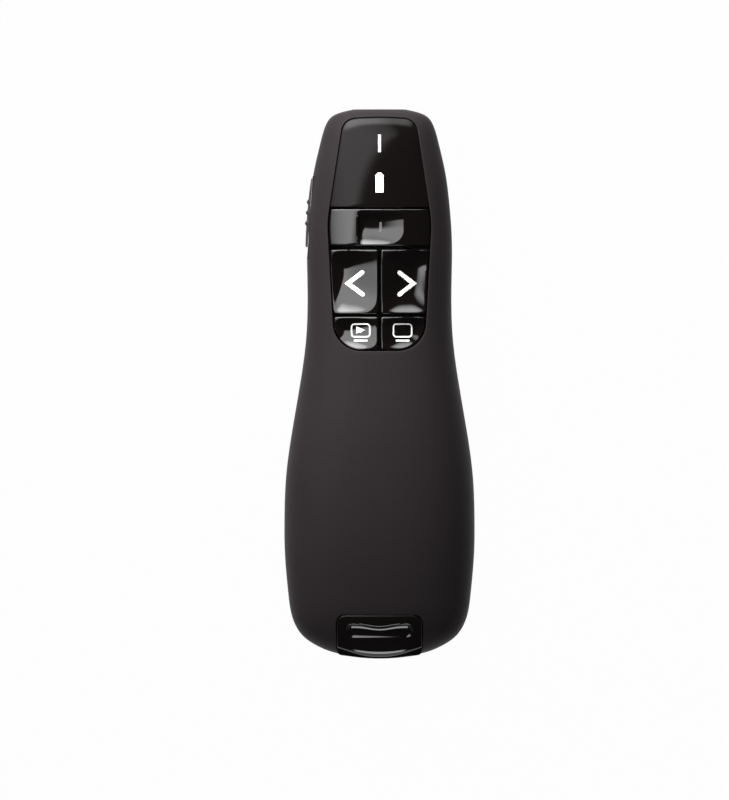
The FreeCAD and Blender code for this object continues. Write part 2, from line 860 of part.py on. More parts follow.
def laser_diode():
    rim = rod(diode_rim_radius, V(0, laser_rear_y, laser_z), ALONG_Y, diode_rim_length)
    can = rod(diode_radius, V(0, laser_rear_y, laser_z), ALONG_Y, diode_length)
    return rim.fuse(can).removeSplitter()


def laser_window():
    flange = rod(
        window_flange_radius, V(0, window_flange_rear_y, laser_z), ALONG_Y, window_flange_thickness)
    pane = rod(
        window_radius, V(0, window_flange_rear_y, laser_z), ALONG_Y,
        window_front_y - window_flange_rear_y)
    return flange.fuse(pane).removeSplitter()


def battery(side):
    """One cell; the left one points its nub to the nose, the right one to the tail."""
    x = side * cell_spacing / 2
    can_length = cell_length - cell_nub_length
    if side < 0:
        nub_y = bay_front_y - contact_thickness - contact_fit - cell_nub_length
        can_y = nub_y - can_length
    else:
        nub_y = bay_rear_y + contact_thickness + contact_fit
        can_y = nub_y + cell_nub_length
    can = rod(cell_radius, V(x, can_y, cell_z), ALONG_Y, can_length)
    return can.fuse(rod(cell_nub_radius, V(x, nub_y, cell_z), ALONG_Y, cell_nub_length))


def spring_point(height, step):
    """A point on a spring's middle line, so many quarter turns up from its foot."""
    turn = step * math.pi / 2
    rise = height * step / spring_arc_count
    return V(spring_radius * math.cos(turn), spring_radius * math.sin(turn), rise)


def battery_springs():
    room = bay_length - 2 * contact_thickness - contact_fit - cell_length - 2 * spring_touch
    height = room - 2 * spring_wire_radius
    arcs = []
    for i in range(spring_arc_count):
        points = [spring_point(height, step) for step in (i, i + 1 / 2, i + 1)]
        arcs.append(Part.Arc(*points).toShape())
    facing = arcs[0].tangentAt(arcs[0].FirstParameter)
    wire_end = Part.Circle(spring_point(height, 0), facing, spring_wire_radius)
    coil = Part.Wire(arcs).makePipe(Part.Face(Part.Wire(wire_end.toShape())))
    coil.rotate(V(0, 0, 0), ALONG_X, -90)
    left = coil.copy()
    left.translate(V(
        -cell_spacing / 2,
        bay_rear_y + contact_thickness + spring_touch + spring_wire_radius, cell_z))
    right = coil.copy()
    right.translate(V(
        cell_spacing / 2,
        bay_front_y - contact_thickness - spring_touch - spring_wire_radius - height, cell_z))
    return Part.Compound([left, right])


def battery_contacts():
    plates = []
    for y in (bay_rear_y, bay_front_y - contact_thickness):
        for x in (-cell_spacing / 2, cell_spacing / 2):
            plates.append(slab(
                x - contact_half_width, x + contact_half_width, y, y + contact_thickness,
                cell_z - contact_half_height, cell_z + contact_half_height))
    return Part.Compound(plates)


def housing_screws():
    screws = []
    for x, y, head_z in screw_places:
        head = rod(screw_head_radius, V(x, y, head_z - screw_head_height), ALONG_Z, screw_head_height)
        shank = rod(screw_shank_radius, V(x, y, head_z), ALONG_Z, screw_length)
        across = slab(
            x - screw_head_radius, x + screw_head_radius,
            y - screw_slot_width / 2, y + screw_slot_width / 2,
            head_z - screw_head_height, head_z - screw_head_height / 2)
        along = across.copy()
        along.rotate(V(x, y, 0), ALONG_Z, 90)
        screws.append(head.fuse(shank).cut(across).cut(along))
    return Part.Compound(screws)


def receiver_block():
    """The receiver's outside: a slim case with a thick end that carries the body's form on."""
    case = column(rounded([
        (receiver_case_half_width, notch_front_y - receiver_gap, receiver_corner),
        (receiver_case_half_width, receiver_case_front_y, receiver_corner),
        (-receiver_case_half_width, receiver_case_front_y, receiver_corner),
        (-receiver_case_half_width, notch_front_y - receiver_gap, receiver_corner),
    ]), receiver_low_z, receiver_low_z + receiver_case_height)
    join = middle_slab(
        receiver_case_half_width, notch_front_y - 2 * receiver_corner, notch_front_y + receiver_corner,
        receiver_low_z, receiver_low_z + receiver_case_height)
    end_face = rounded([
        (-receiver_case_half_width, receiver_tail_corner_y, receiver_tail_radius),
        (0, receiver_tail_corner_y - receiver_tail_bulge, receiver_tail_bulge_radius),
        (receiver_case_half_width, receiver_tail_corner_y, receiver_tail_radius),
        (receiver_case_half_width, notch_front_y - receiver_gap, notch_corner),
        (-receiver_case_half_width, notch_front_y - receiver_gap, notch_corner),
    ])
    end_form = form(receiver_sink)
    end_form.translate(V(0, -receiver_reach, 0))
    end = column(end_face, receiver_low_z, overrun).common(end_form)
    scoop = rod(scoop_radius, V(-scoop_half_width, scoop_y, 0), ALONG_X, 2 * scoop_half_width)
    for side in (-1, 1):
        tip = Part.makeSphere(scoop_radius, V(side * scoop_half_width, scoop_y, 0))
        scoop = scoop.fuse(tip)
    scoop.translate(V(0, 0, height_of(end_form, 0, scoop_y) + scoop_radius - scoop_depth))
    return case.fuse(join).fuse(end).cut(scoop)


def receiver_room():
    """The hollow inside the receiver, with the plug's way out."""
    low = receiver_low_z + receiver_wall
    high = receiver_low_z + receiver_case_height - receiver_wall
    room = middle_slab(
        receiver_case_half_width - receiver_wall, notch_front_y,
        receiver_case_front_y - receiver_wall, low, high)
    mouth = middle_slab(
        plug_half_width + plug_fit, receiver_case_front_y - plug_root, overrun,
        plug_low_z - plug_fit, plug_low_z + plug_height + plug_fit)
    return room.fuse(mouth)


def receiver_case_top():
    upper = middle_slab(overrun, -overrun, overrun, receiver_split_z, overrun)
    return receiver_block().common(upper).cut(receiver_room())


def receiver_case_bottom():
    lower = middle_slab(overrun, -overrun, overrun, receiver_low_z, receiver_split_z)
    return receiver_block().common(lower).cut(receiver_room())


def usb_plug_shell():
    rear = receiver_case_front_y - plug_root
    front = receiver_case_front_y + plug_length
    tube = middle_slab(plug_half_width, rear, front, plug_low_z, plug_low_z + plug_height)
    bore = middle_slab(
        plug_half_width - plug_sheet, rear, front,
        plug_low_z + plug_sheet, plug_low_z + plug_height - plug_sheet)
    return tube.cut(bore)


def usb_tongue():
    rear = receiver_case_front_y - plug_root
    front = receiver_case_front_y + plug_length - plug_sheet
    return middle_slab(
        plug_half_width - plug_sheet - plug_fit, rear, front,
        plug_low_z + plug_sheet, plug_low_z + plug_sheet + tongue_height)


def usb_contacts():
    strips = []
    low = plug_low_z + plug_sheet + tongue_height
    for i in range(contact_strip_count):
        x = (i - (contact_strip_count - 1) / 2) * contact_strip_pitch
        strips.append(slab(
            x - contact_strip_width / 2, x + contact_strip_width / 2,
            receiver_case_front_y - plug_root, receiver_case_front_y + plug_length - contact_strip_width,
            low, low + contact_strip_height))
    return Part.Compound(strips)


receiver_board_low_z = receiver_low_z + receiver_wall + receiver_board_lift
receiver_board_half_width = receiver_case_half_width - receiver_wall - receiver_board_fit


def receiver_board():
    return middle_slab(
        receiver_board_half_width, notch_front_y + receiver_board_fit,
        receiver_case_front_y - plug_root - receiver_board_fit,
        receiver_board_low_z, receiver_board_low_z + receiver_board_thickness)


def receiver_chip():
    middle_y = (notch_front_y + receiver_case_front_y) / 2
    low = receiver_board_low_z + receiver_board_thickness
    return middle_slab(
        receiver_chip_size / 2, middle_y - receiver_chip_size / 2, middle_y + receiver_chip_size / 2,
        low, low + receiver_chip_height)


def build():
    nodes["upper_shell"] = upper_shell()
    nodes["lower_shell"] = lower_shell()
    nodes["battery_door"] = battery_door()
    nodes["battery_tray"] = battery_tray()
    nodes["indicator_plate"] = indicator_plate()
    nodes["laser_light_guide"] = light_guide(bar_window_face(0))
    nodes["battery_light_guide"] = light_guide(cell_window_face(0))
    nodes["laser_key"] = laser_key()
    nodes["forward_key"] = forward_key()
    nodes["back_key"] = mirrored(nodes["forward_key"])
    nodes["blank_screen_key"] = blank_screen_key()
    nodes["slideshow_key"] = mirrored(nodes["blank_screen_key"])
    for name, (x, y) in switch_places.items():
        nodes[name + "_plunger"] = plunger(x, y)
    nodes["tact_switch_bodies"] = tact_switch_bodies()
    nodes["power_switch_knob"] = power_switch_knob()
    nodes["slide_switch_body"] = slide_switch_body()
    nodes["slide_switch_lever"] = slide_switch_lever()
    nodes["laser_barrel"] = laser_barrel()
    nodes["laser_lens"] = laser_lens()
    nodes["laser_diode"] = laser_diode()
    nodes["laser_window"] = laser_window()
    nodes["main_board"] = main_board()
    nodes["indicator_leds"] = indicator_leds()
    nodes["radio_chip"] = radio_chip()
    nodes["crystal"] = crystal()
    nodes["capacitor"] = capacitor()
    nodes["left_battery"] = battery(-1)
    nodes["right_battery"] = battery(1)
    nodes["battery_springs"] = battery_springs()
    nodes["battery_contacts"] = battery_contacts()
    nodes["housing_screws"] = housing_screws()
    nodes["receiver_case_top"] = receiver_case_top()
    nodes["receiver_case_bottom"] = receiver_case_bottom()
    nodes["receiver_board"] = receiver_board()
    nodes["receiver_chip"] = receiver_chip()
    nodes["usb_plug_shell"] = usb_plug_shell()
    nodes["usb_tongue"] = usb_tongue()
    nodes["usb_contacts"] = usb_contacts()


build()
for name, shape in nodes.items():
    shape.exportStep("parts/" + name + ".step")
    box = shape.BoundBox
    print(name, len(shape.Solids), shape.isValid(), round(shape.Volume, 3), [
        round(v, 2) for v in (box.XMin, box.YMin, box.ZMin, box.XMax, box.YMax, box.ZMax)])
print("knob slide axis", [round(v, 5) for v in (-math.sin(track_turn), -math.cos(track_turn))])
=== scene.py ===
import json
import math

import bmesh
import bpy
import numpy as np
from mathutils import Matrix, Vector
from mathutils.geometry import delaunay_2d_cdt


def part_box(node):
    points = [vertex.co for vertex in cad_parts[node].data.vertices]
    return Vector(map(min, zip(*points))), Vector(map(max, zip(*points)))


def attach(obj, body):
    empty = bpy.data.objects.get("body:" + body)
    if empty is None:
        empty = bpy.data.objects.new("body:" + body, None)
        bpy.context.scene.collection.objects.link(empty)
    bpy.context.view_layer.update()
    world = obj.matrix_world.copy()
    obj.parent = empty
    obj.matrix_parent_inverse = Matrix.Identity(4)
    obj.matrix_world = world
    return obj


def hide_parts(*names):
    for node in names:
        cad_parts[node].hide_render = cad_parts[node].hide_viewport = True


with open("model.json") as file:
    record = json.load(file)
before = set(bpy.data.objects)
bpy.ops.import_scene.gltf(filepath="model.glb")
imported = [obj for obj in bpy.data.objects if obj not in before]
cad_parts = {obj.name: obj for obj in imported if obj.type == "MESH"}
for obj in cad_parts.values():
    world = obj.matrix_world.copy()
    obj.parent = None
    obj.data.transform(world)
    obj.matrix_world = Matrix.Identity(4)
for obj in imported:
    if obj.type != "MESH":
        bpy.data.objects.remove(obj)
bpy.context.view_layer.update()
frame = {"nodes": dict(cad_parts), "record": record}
mm = 0.001  # sizes below are in millimetres

# the body's outer form, the same rows as the solid model
bodyForm = {
    "halfLength": 57.75,
    "palmHalfWidth": 20.0,
    "seamZ": 12.5,
    "topRise": 14.5,
    "bellyDrop": 12.85,
    "fullness": 0.68,
    "girth": 22.0,  # flat width given to half a section when it is meshed
    # place along, half width, rise of the top, drop of the belly, all as shares
    "sections": [
        (-0.985, 0.350, 0.241, 0.249),
        (-0.975, 0.510, 0.393, 0.412),
        (-0.952, 0.665, 0.538, 0.584),
        (-0.918, 0.805, 0.655, 0.716),
        (-0.862, 0.905, 0.752, 0.833),
        (-0.762, 0.960, 0.855, 0.926),
        (-0.606, 0.997, 0.952, 0.981),
        (-0.485, 1.000, 0.990, 0.996),
        (-0.346, 0.985, 1.000, 1.000),
        (-0.173, 0.920, 0.972, 0.996),
        (0.000, 0.835, 0.903, 0.973),
        (0.173, 0.770, 0.821, 0.903),
        (0.346, 0.757, 0.752, 0.786),
        (0.519, 0.762, 0.710, 0.669),
        (0.658, 0.735, 0.683, 0.599),
        (0.779, 0.688, 0.648, 0.553),
        (0.874, 0.625, 0.600, 0.506),
        (0.935, 0.575, 0.538, 0.451),
        (0.970, 0.515, 0.462, 0.389),
        (0.990, 0.400, 0.352, 0.311),
        (1.000, 0.275, 0.228, 0.241),
    ],
}


def curveThrough(steps, values, at):
    # a cubic curve through the values, its ends sloped like a cubic through the four nearest
    steps = np.array(steps, float)
    values = np.array(values, float)
    gaps = np.diff(steps)
    rise = np.diff(values)
    count = len(steps)
    grid = np.zeros((count, count))
    goal = np.zeros(count)
    grid[0, 0] = grid[-1, -1] = 1
    goal[0] = np.polyfit(steps[:4] - steps[0], values[:4], 3)[2]
    goal[-1] = np.polyfit(steps[-4:] - steps[-1], values[-4:], 3)[2]
    for i in range(1, count - 1):
        grid[i, i - 1] = 1 / gaps[i - 1]
        grid[i, i] = 2 / gaps[i - 1] + 2 / gaps[i]
        grid[i, i + 1] = 1 / gaps[i]
        goal[i] = 3 * (rise[i - 1] / gaps[i - 1] ** 2 + rise[i] / gaps[i] ** 2)
    slope = np.linalg.solve(grid, goal)
    i = np.clip(np.searchsorted(steps, at, side="right") - 1, 0, count - 2)
    s = (at - steps[i]) / gaps[i]
    return (
        values[i] * (1 + 2 * s) * (1 - s) ** 2
        + slope[i] * gaps[i] * s * (1 - s) ** 2
        + values[i + 1] * s ** 2 * (3 - 2 * s)
        + slope[i + 1] * gaps[i] * s ** 2 * (s - 1)
    )


# a half section from crown (0) to foot (1): how far out and how high, as shares
across = np.linspace(0, 1, 1601)
remain = 1 - across
sectionOut = across ** 3 + 3 * across ** 2 * remain + 3 * across * remain ** 2 * bodyForm["fullness"]
sectionUp = remain ** 3 + 3 * remain ** 2 * across + 3 * remain * across ** 2 * bodyForm["fullness"]
nudge = 0.004  # the slope of the skin is taken between two shares this far to either side
bodyTables = {}


def bodyTable(inset):
    # lengthwise tables of place, half width, rise and drop for the form drawn in by inset
    if inset not in bodyTables:
        rows = []
        for along, width, rise, drop in bodyForm["sections"]:
            rows.append((
                along * (bodyForm["halfLength"] - inset),
                width * bodyForm["palmHalfWidth"] - inset,
                rise * bodyForm["topRise"] - inset,
                drop * bodyForm["bellyDrop"] - inset,
            ))
        steps = [0.0]
        for a, b in zip(rows, rows[1:]):
            steps.append(steps[-1] + math.hypot(a[0] - b[0], a[1] - b[1]))
        at = np.linspace(0, steps[-1], 6001)
        columns = [curveThrough(steps, [row[i] for row in rows], at) for i in range(4)]
        bodyTables[inset] = dict(zip(("at", "y", "width", "rise", "drop"), [at] + columns))
    return bodyTables[inset]


def sectionShare(x, y, table):
    # how far from crown to foot plan points lie
    width = np.interp(y, table["y"], table["width"])
    return np.interp(np.minimum(np.abs(x) / width, 1), sectionOut, across)


def topHeight(x, y, inset=0.0):
    # the height of the top skin, drawn in by inset, over plan points
    table = bodyTable(inset)
    rise = np.interp(y, table["y"], table["rise"])
    return bodyForm["seamZ"] + rise * np.interp(sectionShare(x, y, table), across, sectionUp)


def underTop(flat, depth, inset=0.0):
    # plan points set depth under the top skin
    return np.column_stack([flat, topHeight(flat[:, 0], flat[:, 1], inset) - depth])


def skinPoint(flat, inset=0.0, sink=0.0):
    # the top skin's points for points of its flat pattern, sunk square to the section
    table = bodyTable(inset)
    width = np.interp(flat[:, 1], table["at"], table["width"])
    rise = np.interp(flat[:, 1], table["at"], table["rise"])
    share = np.clip(np.abs(flat[:, 0]) / bodyForm["girth"], 0, 1)
    side = np.where(flat[:, 0] < 0, -1.0, 1.0)
    point = np.column_stack([
        side * width * np.interp(share, across, sectionOut),
        np.interp(flat[:, 1], table["at"], table["y"]),
        bodyForm["seamZ"] + rise * np.interp(share, across, sectionUp),
    ])
    if np.any(sink):
        ahead = np.minimum(share + nudge, 1)
        behind = np.maximum(share - nudge, 0)
        run = width * (np.interp(ahead, across, sectionOut) - np.interp(behind, across, sectionOut))
        fall = rise * (np.interp(behind, across, sectionUp) - np.interp(ahead, across, sectionUp))
        size = np.hypot(run, fall)
        point[:, 0] -= side * sink * fall / size
        point[:, 2] -= sink * run / size
    return point


def flatPattern(x, y, inset=0.0):
    # where plan points lie in the skin's flat pattern
    table = bodyTable(inset)
    out = np.sign(x) * sectionShare(x, y, table) * bodyForm["girth"]
    return np.column_stack([out, np.interp(y, table["y"], table["at"])])


sharpTurn = 0.45  # radians: an outline's larger turns are kept as corners


def arcCorners(corners, step=0.3):
    # a closed outline from corners (x, y, radius), walked along its lines and corner arcs
    points = []
    count = len(corners)
    for i, (x, y, radius) in enumerate(corners):
        here = np.array([x, y], float)
        before = np.array(corners[i - 1][:2], float) - here
        after = np.array(corners[(i + 1) % count][:2], float) - here
        before /= np.linalg.norm(before)
        after /= np.linalg.norm(after)
        halfTurn = math.acos(np.clip(before @ after, -1, 1)) / 2
        reach = radius / math.tan(halfTurn)
        middle = before + after
        centre = here + middle / np.linalg.norm(middle) * radius / math.sin(halfTurn)
        start = here + before * reach - centre
        end = here + after * reach - centre
        sweep = math.pi - 2 * halfTurn
        pieces = max(4, int(radius * sweep / step))
        turn = math.copysign(1, start[0] * end[1] - start[1] * end[0])
        for k in range(pieces + 1):
            angle = turn * sweep * k / pieces
            c, s = math.cos(angle), math.sin(angle)
            points.append(centre + [c * start[0] - s * start[1], s * start[0] + c * start[1]])
    return evenLoop(np.array(points), step)


def loopArea(points):
    # positive for an anticlockwise outline
    x, y = points[:, 0], points[:, 1]
    return 0.5 * np.sum(x * np.roll(y, -1) - np.roll(x, -1) * y)


def outlineTurns(points):
    # the lines that lead to and from each point of an outline, and the turn between them
    back = points - np.roll(points, 1, 0)
    ahead = np.roll(points, -1, 0) - points
    turn = np.arctan2(back[:, 0] * ahead[:, 1] - back[:, 1] * ahead[:, 0], np.sum(back * ahead, axis=1))
    return back, ahead, turn


def evenLoop(points, step):
    # the same closed outline with evenly spaced points, anticlockwise, sharp turns kept
    if loopArea(points) < 0:
        points = points[::-1]
    points = points[np.linalg.norm(points - np.roll(points, 1, 0), axis=1) > 1e-5]
    sharp = np.where(np.abs(outlineTurns(points)[2]) > sharpTurn)[0]
    if len(sharp) == 0:
        sharp = np.array([0])
    points = np.roll(points, -sharp[0], 0)
    marks = list(sharp - sharp[0]) + [len(points)]
    points = np.vstack([points, points[:1]])
    result = []
    for a, b in zip(marks, marks[1:]):
        run = points[a:b + 1]
        length = np.concatenate([[0], np.cumsum(np.linalg.norm(np.diff(run, axis=0), axis=1))])
        pieces = max(1, int(round(length[-1] / step)))
        at = np.linspace(0, length[-1], pieces + 1)[:-1]
        result.append(np.column_stack([np.interp(at, length, run[:, k]) for k in range(2)]))
    return np.vstack(result)


def shrinkLoop(points, distance):
    # an outline drawn inwards (outwards where distance is negative), the same count of points
    back, ahead = outlineTurns(points)[:2]
    back /= np.linalg.norm(back, axis=1)[:, None]
    ahead /= np.linalg.norm(ahead, axis=1)[:, None]
    inward = np.column_stack([-(back + ahead)[:, 1], (back + ahead)[:, 0]])
    size = np.linalg.norm(inward, axis=1)[:, None]
    inward /= size
    return points + inward * distance / np.maximum(size / 2, 0.6)


def softenLoop(points, radius, step):
    # sharp corners of an outline turned into arcs
    points = evenLoop(points, step)
    back, ahead, turn = outlineTurns(points)
    count = len(points)
    keep = np.ones(count, bool)
    arcs = {}
    for i in np.where(np.abs(turn) > sharpTurn)[0]:
        reach = radius * math.tan(abs(turn[i]) / 2)
        before = -back[i] / np.linalg.norm(back[i])
        after = ahead[i] / np.linalg.norm(ahead[i])
        for k in range(-40, 41):
            if np.linalg.norm(points[(i + k) % count] - points[i]) < reach + 0.4 * step:
                keep[(i + k) % count] = False
        start = points[i] + before * reach
        end = points[i] + after * reach
        middle = before + after
        centre = points[i] + middle / np.linalg.norm(middle) * radius / math.cos(turn[i] / 2)
        arc = []
        for s in np.linspace(0, 1, max(5, int(abs(turn[i]) * radius / step) + 2)):
            angle = s * turn[i]
            c, n = math.cos(angle), math.sin(angle)
            arc.append(centre + np.array([[c, -n], [n, c]]) @ (start - centre))
        arcs[i] = np.array(arc)
    result = []
    for i in range(count):
        if i in arcs:
            result.append(arcs[i])
        elif keep[i]:
            result.append(points[i:i + 1])
    return np.vstack(result)


def cutLoop(points, axis, limit, side):
    # the part of a rounded outline on one side of a straight cut
    result = []
    for a, b in zip(points, np.roll(points, -1, 0)):
        inA = side * (a[axis] - limit) >= 0
        inB = side * (b[axis] - limit) >= 0
        if inA:
            result.append(a)
        if inA != inB:
            result.append(a + (b - a) * (limit - a[axis]) / (b[axis] - a[axis]))
    return np.array(result)


def insideLoop(points, loop):
    # which points lie inside an outline
    inside = np.zeros(len(points), bool)
    for a, b in zip(loop, np.roll(loop, -1, 0)):
        crosses = (a[1] > points[:, 1]) != (b[1] > points[:, 1])
        if a[1] != b[1]:
            meet = a[0] + (b[0] - a[0]) * (points[:, 1] - a[1]) / (b[1] - a[1])
            inside ^= crosses & (points[:, 0] < meet)
    return inside


def insidePatch(points, outer, holes):
    # which points lie inside the outer outline and outside the holes
    inside = insideLoop(points, outer)
    for hole in holes:
        inside &= ~insideLoop(points, hole)
    return inside


fillRules = {
    # where the inner points' grid starts and how far they keep from an outline, in steps, how many
    # are measured at a time, and how close two points are one
    "startX": 0.37, "startY": 0.41, "clear": 0.55, "atOnce": 2000, "weld": 1e-7}


def fillLoops(outer, holes, step):
    # a flat patch inside one loop and outside others: its points, its loops as lists of point
    # numbers, and its faces
    loops = [outer] + holes
    low, high = outer.min(0), outer.max(0)
    xs = np.arange(low[0] + step * fillRules["startX"], high[0], step)
    ys = np.arange(low[1] + step * fillRules["startY"], high[1], step)
    grid = np.stack(np.meshgrid(xs, ys), -1).reshape(-1, 2)
    grid = grid[insidePatch(grid, outer, holes)]
    edgePoints = np.vstack(loops)
    if len(grid):
        near = []
        for start in range(0, len(grid), fillRules["atOnce"]):
            part = grid[start:start + fillRules["atOnce"], None, :]
            near.append(np.min(np.linalg.norm(part - edgePoints[None, :, :], axis=2), axis=1))
        grid = grid[np.concatenate(near) > fillRules["clear"] * step]
    edges, first = [], 0
    for loop in loops:
        edges += [(first + i, first + (i + 1) % len(loop)) for i in range(len(loop))]
        first += len(loop)
    points = np.vstack([edgePoints, grid])
    found = delaunay_2d_cdt([Vector(p) for p in points], edges, [], 0, fillRules["weld"])
    flat = np.array([(v.x, v.y) for v in found[0]])
    place = {}
    for i, sources in enumerate(found[3]):
        for source in sources:
            place[source] = i
    faces = np.array(found[2])
    wanted = insidePatch(flat[faces].mean(1), outer, holes)
    indexLoops, first = [], 0
    for loop in loops:
        indexLoops.append([place[first + i] for i in range(len(loop))])
        first += len(loop)
    return flat, indexLoops, faces[wanted]


class MeshPlan:
    # gathers points and faces in millimetres and turns them into one object
    def __init__(self):
        self.points = []
        self.faces = []

    def add(self, points):
        first = len(self.points)
        self.points += [tuple(p) for p in points]
        return list(range(first, len(self.points)))

    def band(self, lower, upper, flip=False, closed=True):
        # faces between two rows of points, the same count in both, joined at the ends if closed
        for i in range(len(lower) if closed else len(lower) - 1):
            k = (i + 1) % len(lower)
            face = (lower[i], lower[k], upper[k], upper[i])
            self.faces.append(face[::-1] if flip else face)

    def patch(self, ids, faces, flip=False):
        # faces given as places in a list of point numbers
        for face in faces:
            corners = tuple(ids[i] for i in face)
            self.faces.append(corners[::-1] if flip else corners)

    def makeObject(self, name, keepSharp=40):
        # welded and smooth, but for edges that turn more than keepSharp degrees
        mesh = bpy.data.meshes.new(name)
        mesh.from_pydata([Vector(p) * mm for p in self.points], [], self.faces)
        work = bmesh.new()
        work.from_mesh(mesh)
        bmesh.ops.remove_doubles(work, verts=work.verts, dist=2e-6)
        bmesh.ops.recalc_face_normals(work, faces=work.faces)
        triangles = [f for f in work.faces if len(f.verts) == 3]
        bmesh.ops.join_triangles(
            work, faces=triangles, angle_face_threshold=0.35, angle_shape_threshold=0.7)
        for edge in work.edges:
            edge.smooth = not (
                len(edge.link_faces) == 2 and edge.calc_face_angle(0) > math.radians(keepSharp))
        for face in work.faces:
            face.smooth = True
        work.to_mesh(mesh)
        work.free()
        made = bpy.data.objects.new(name, mesh)
        bpy.context.scene.collection.objects.link(made)
        return made


def roundedRim(radius, count):
    # the rows of a rounded rim from its foot up: how far in and how far down each lies
    for k in range(count + 1):
        turn = math.pi / 2 * k / count
        yield radius * (1 - math.cos(turn)), radius * (1 - math.sin(turn))


def capPiece(name, outline, height, rim, depth, step, holes=(), rimSteps=5, footZ=None):
    # a cap over a plan outline: top from height(x, y), rounded rim, upright sides, and an
    # underside that lies depth under the top, or flat at footZ
    plan = MeshPlan()
    rows = []
    for inward, down in roundedRim(rim, rimSteps):
        loop = shrinkLoop(outline, inward)
        rows.append(plan.add(np.column_stack([loop, height(loop[:, 0], loop[:, 1]) - down])))
    flat, loops, faces = fillLoops(shrinkLoop(outline, rim), list(holes), step)
    z = height(flat[:, 0], flat[:, 1])
    top = plan.add(np.column_stack([flat, z]))
    plan.patch(top, faces)
    for a, b in zip(rows, rows[1:]):
        plan.band(a, b)
    if depth is None:
        footHeight = np.full(len(outline), footZ)
    else:
        footHeight = height(outline[:, 0], outline[:, 1]) - depth
    foot = plan.add(np.column_stack([outline, footHeight]))
    plan.band(foot, rows[0])
    if depth is None:
        plan.faces.append(tuple(foot[::-1]))
        return plan.makeObject(name)
    under = plan.add(np.column_stack([flat, z - depth]))
    plan.patch(under, faces, True)
    plan.band(foot, [under[i] for i in loops[0]], True)
    for loop in loops[1:]:
        plan.band([under[i] for i in loop], [top[i] for i in loop])
    return plan.makeObject(name)


def finishPiece(piece, body, slot, material, *nodes):
    piece.data.materials.append(material)
    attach(piece, body)
    if nodes:
        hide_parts(*nodes)
    return piece


class Wire:
    # a socket that Python's own signs can do maths on
    def __init__(self, finish, socket):
        self.finish = finish
        self.socket = socket

    def maths(self, operation, first, second):
        return self.finish.node("ShaderNodeMath", {"operation": operation}, {0: first, 1: second})

    def __add__(self, other):
        return self.maths("ADD", self, other)

    def __radd__(self, other):
        return self.maths("ADD", other, self)

    def __sub__(self, other):
        return self.maths("SUBTRACT", self, other)

    def __rsub__(self, other):
        return self.maths("SUBTRACT", other, self)

    def __mul__(self, other):
        return self.maths("MULTIPLY", self, other)

    def __rmul__(self, other):
        return self.maths("MULTIPLY", other, self)


class Finish:
    # a new material, or the lamp or world that is given, with the calls that add its nodes
    def __init__(self, name, holder=None):
        self.material = holder or bpy.data.materials.new(name)
        self.material.use_nodes = True
        self.tree = self.material.node_tree
        self.tree.nodes.clear()

    def node(self, kind, settings=None, inputs=None, output=0):
        made = self.tree.nodes.new(kind)
        for key, value in (settings or {}).items():
            if key == "stops":
                ramp = made.color_ramp
                while len(ramp.elements) < len(value):
                    ramp.elements.new(0.5)
                for element, (position, level) in zip(ramp.elements, value):
                    element.position = position
                    element.color = (level, level, level, 1)
            else:
                setattr(made, key, value)
        for key, value in (inputs or {}).items():
            if isinstance(value, Wire):
                self.tree.links.new(value.socket, made.inputs[key])
            elif isinstance(value, tuple) and len(value) == 3 and made.inputs[key].type == "RGBA":
                made.inputs[key].default_value = value + (1,)
            else:
                made.inputs[key].default_value = value
        return Wire(self, made.outputs[output]) if len(made.outputs) else None

    def place(self):
        return self.node("ShaderNodeTexCoord", output="Object")

    def noise(self, size, detail=2.0, roughness=0.5):
        # clouds whose lumps are about size millimetres across
        return self.node("ShaderNodeTexNoise", inputs={
            "Vector": self.place(), "Scale": 1 / (size * mm), "Detail": detail, "Roughness": roughness})

    def ramp(self, value, stops):
        return self.node("ShaderNodeValToRGB", {"stops": stops}, {"Fac": value})

    def blend(self, mask, first, second):
        return self.node(
            "ShaderNodeMix", {"data_type": "RGBA"}, {0: mask, 6: first, 7: second}, output=2)

    def bump(self, height, depth, normal=None):
        # depth in millimetres for a height of one
        inputs = {"Height": height, "Strength": 1.0, "Distance": depth * mm}
        if normal:
            inputs["Normal"] = normal
        return self.node("ShaderNodeBump", inputs=inputs)

    def rounded(self, radius):
        # the normal with every corner rounded by radius millimetres
        return self.node("ShaderNodeBevel", {"samples": 4}, {"Radius": radius * mm})

    def edges(self, radius):
        # 1 where the surface turns a corner within radius, 0 on the flats
        straight = self.node("ShaderNodeNewGeometry", output="Normal")
        along = self.node("ShaderNodeVectorMath", {"operation": "DOT_PRODUCT"}, {
            0: self.rounded(radius), 1: straight}, "Value")
        return self.ramp(1 - along, [(0.004, 0), (0.12, 1)])

    def close(self, inputs):
        shader = self.node("ShaderNodeBsdfPrincipled", inputs=inputs)
        self.node("ShaderNodeOutputMaterial", inputs={"Surface": shader})
        return self.material


def shade(colour, share):
    return tuple(min(1.0, c * share) for c in colour)


# grain, clouds, rubbed spots, ripples, film, scuffs, specks and haze are sizes in millimetres
softTouch = {
    "colour": (0.0205, 0.0172, 0.0180), "roughness": 0.5, "sheen": 0.035, "grain": 0.11,
    "grainDepth": 0.006, "cloud": 9.0, "rub": 3.0, "edge": 0.35}
glossBlack = {
    "colour": (0.0026, 0.0018, 0.0017), "roughness": 0.05, "shine": 0.45, "ripple": 3.5,
    "rippleDepth": 0.0012, "film": 6.0, "scuff": 0.6}
plateBlack = {
    "colour": (0.0040, 0.0030, 0.0029), "roughness": 0.10, "shine": 0.10, "ripple": 6.0,
    "rippleDepth": 0.001, "film": 6.0, "scuff": 0.6}
printWhite = {"colour": (0.93, 0.93, 0.92), "roughness": 0.42, "speck": 0.12, "depth": 0.002}
guideWhite = {"colour": (0.95, 0.95, 0.94), "roughness": 0.3, "glow": 0.12, "haze": 1.2, "depth": 0.004}
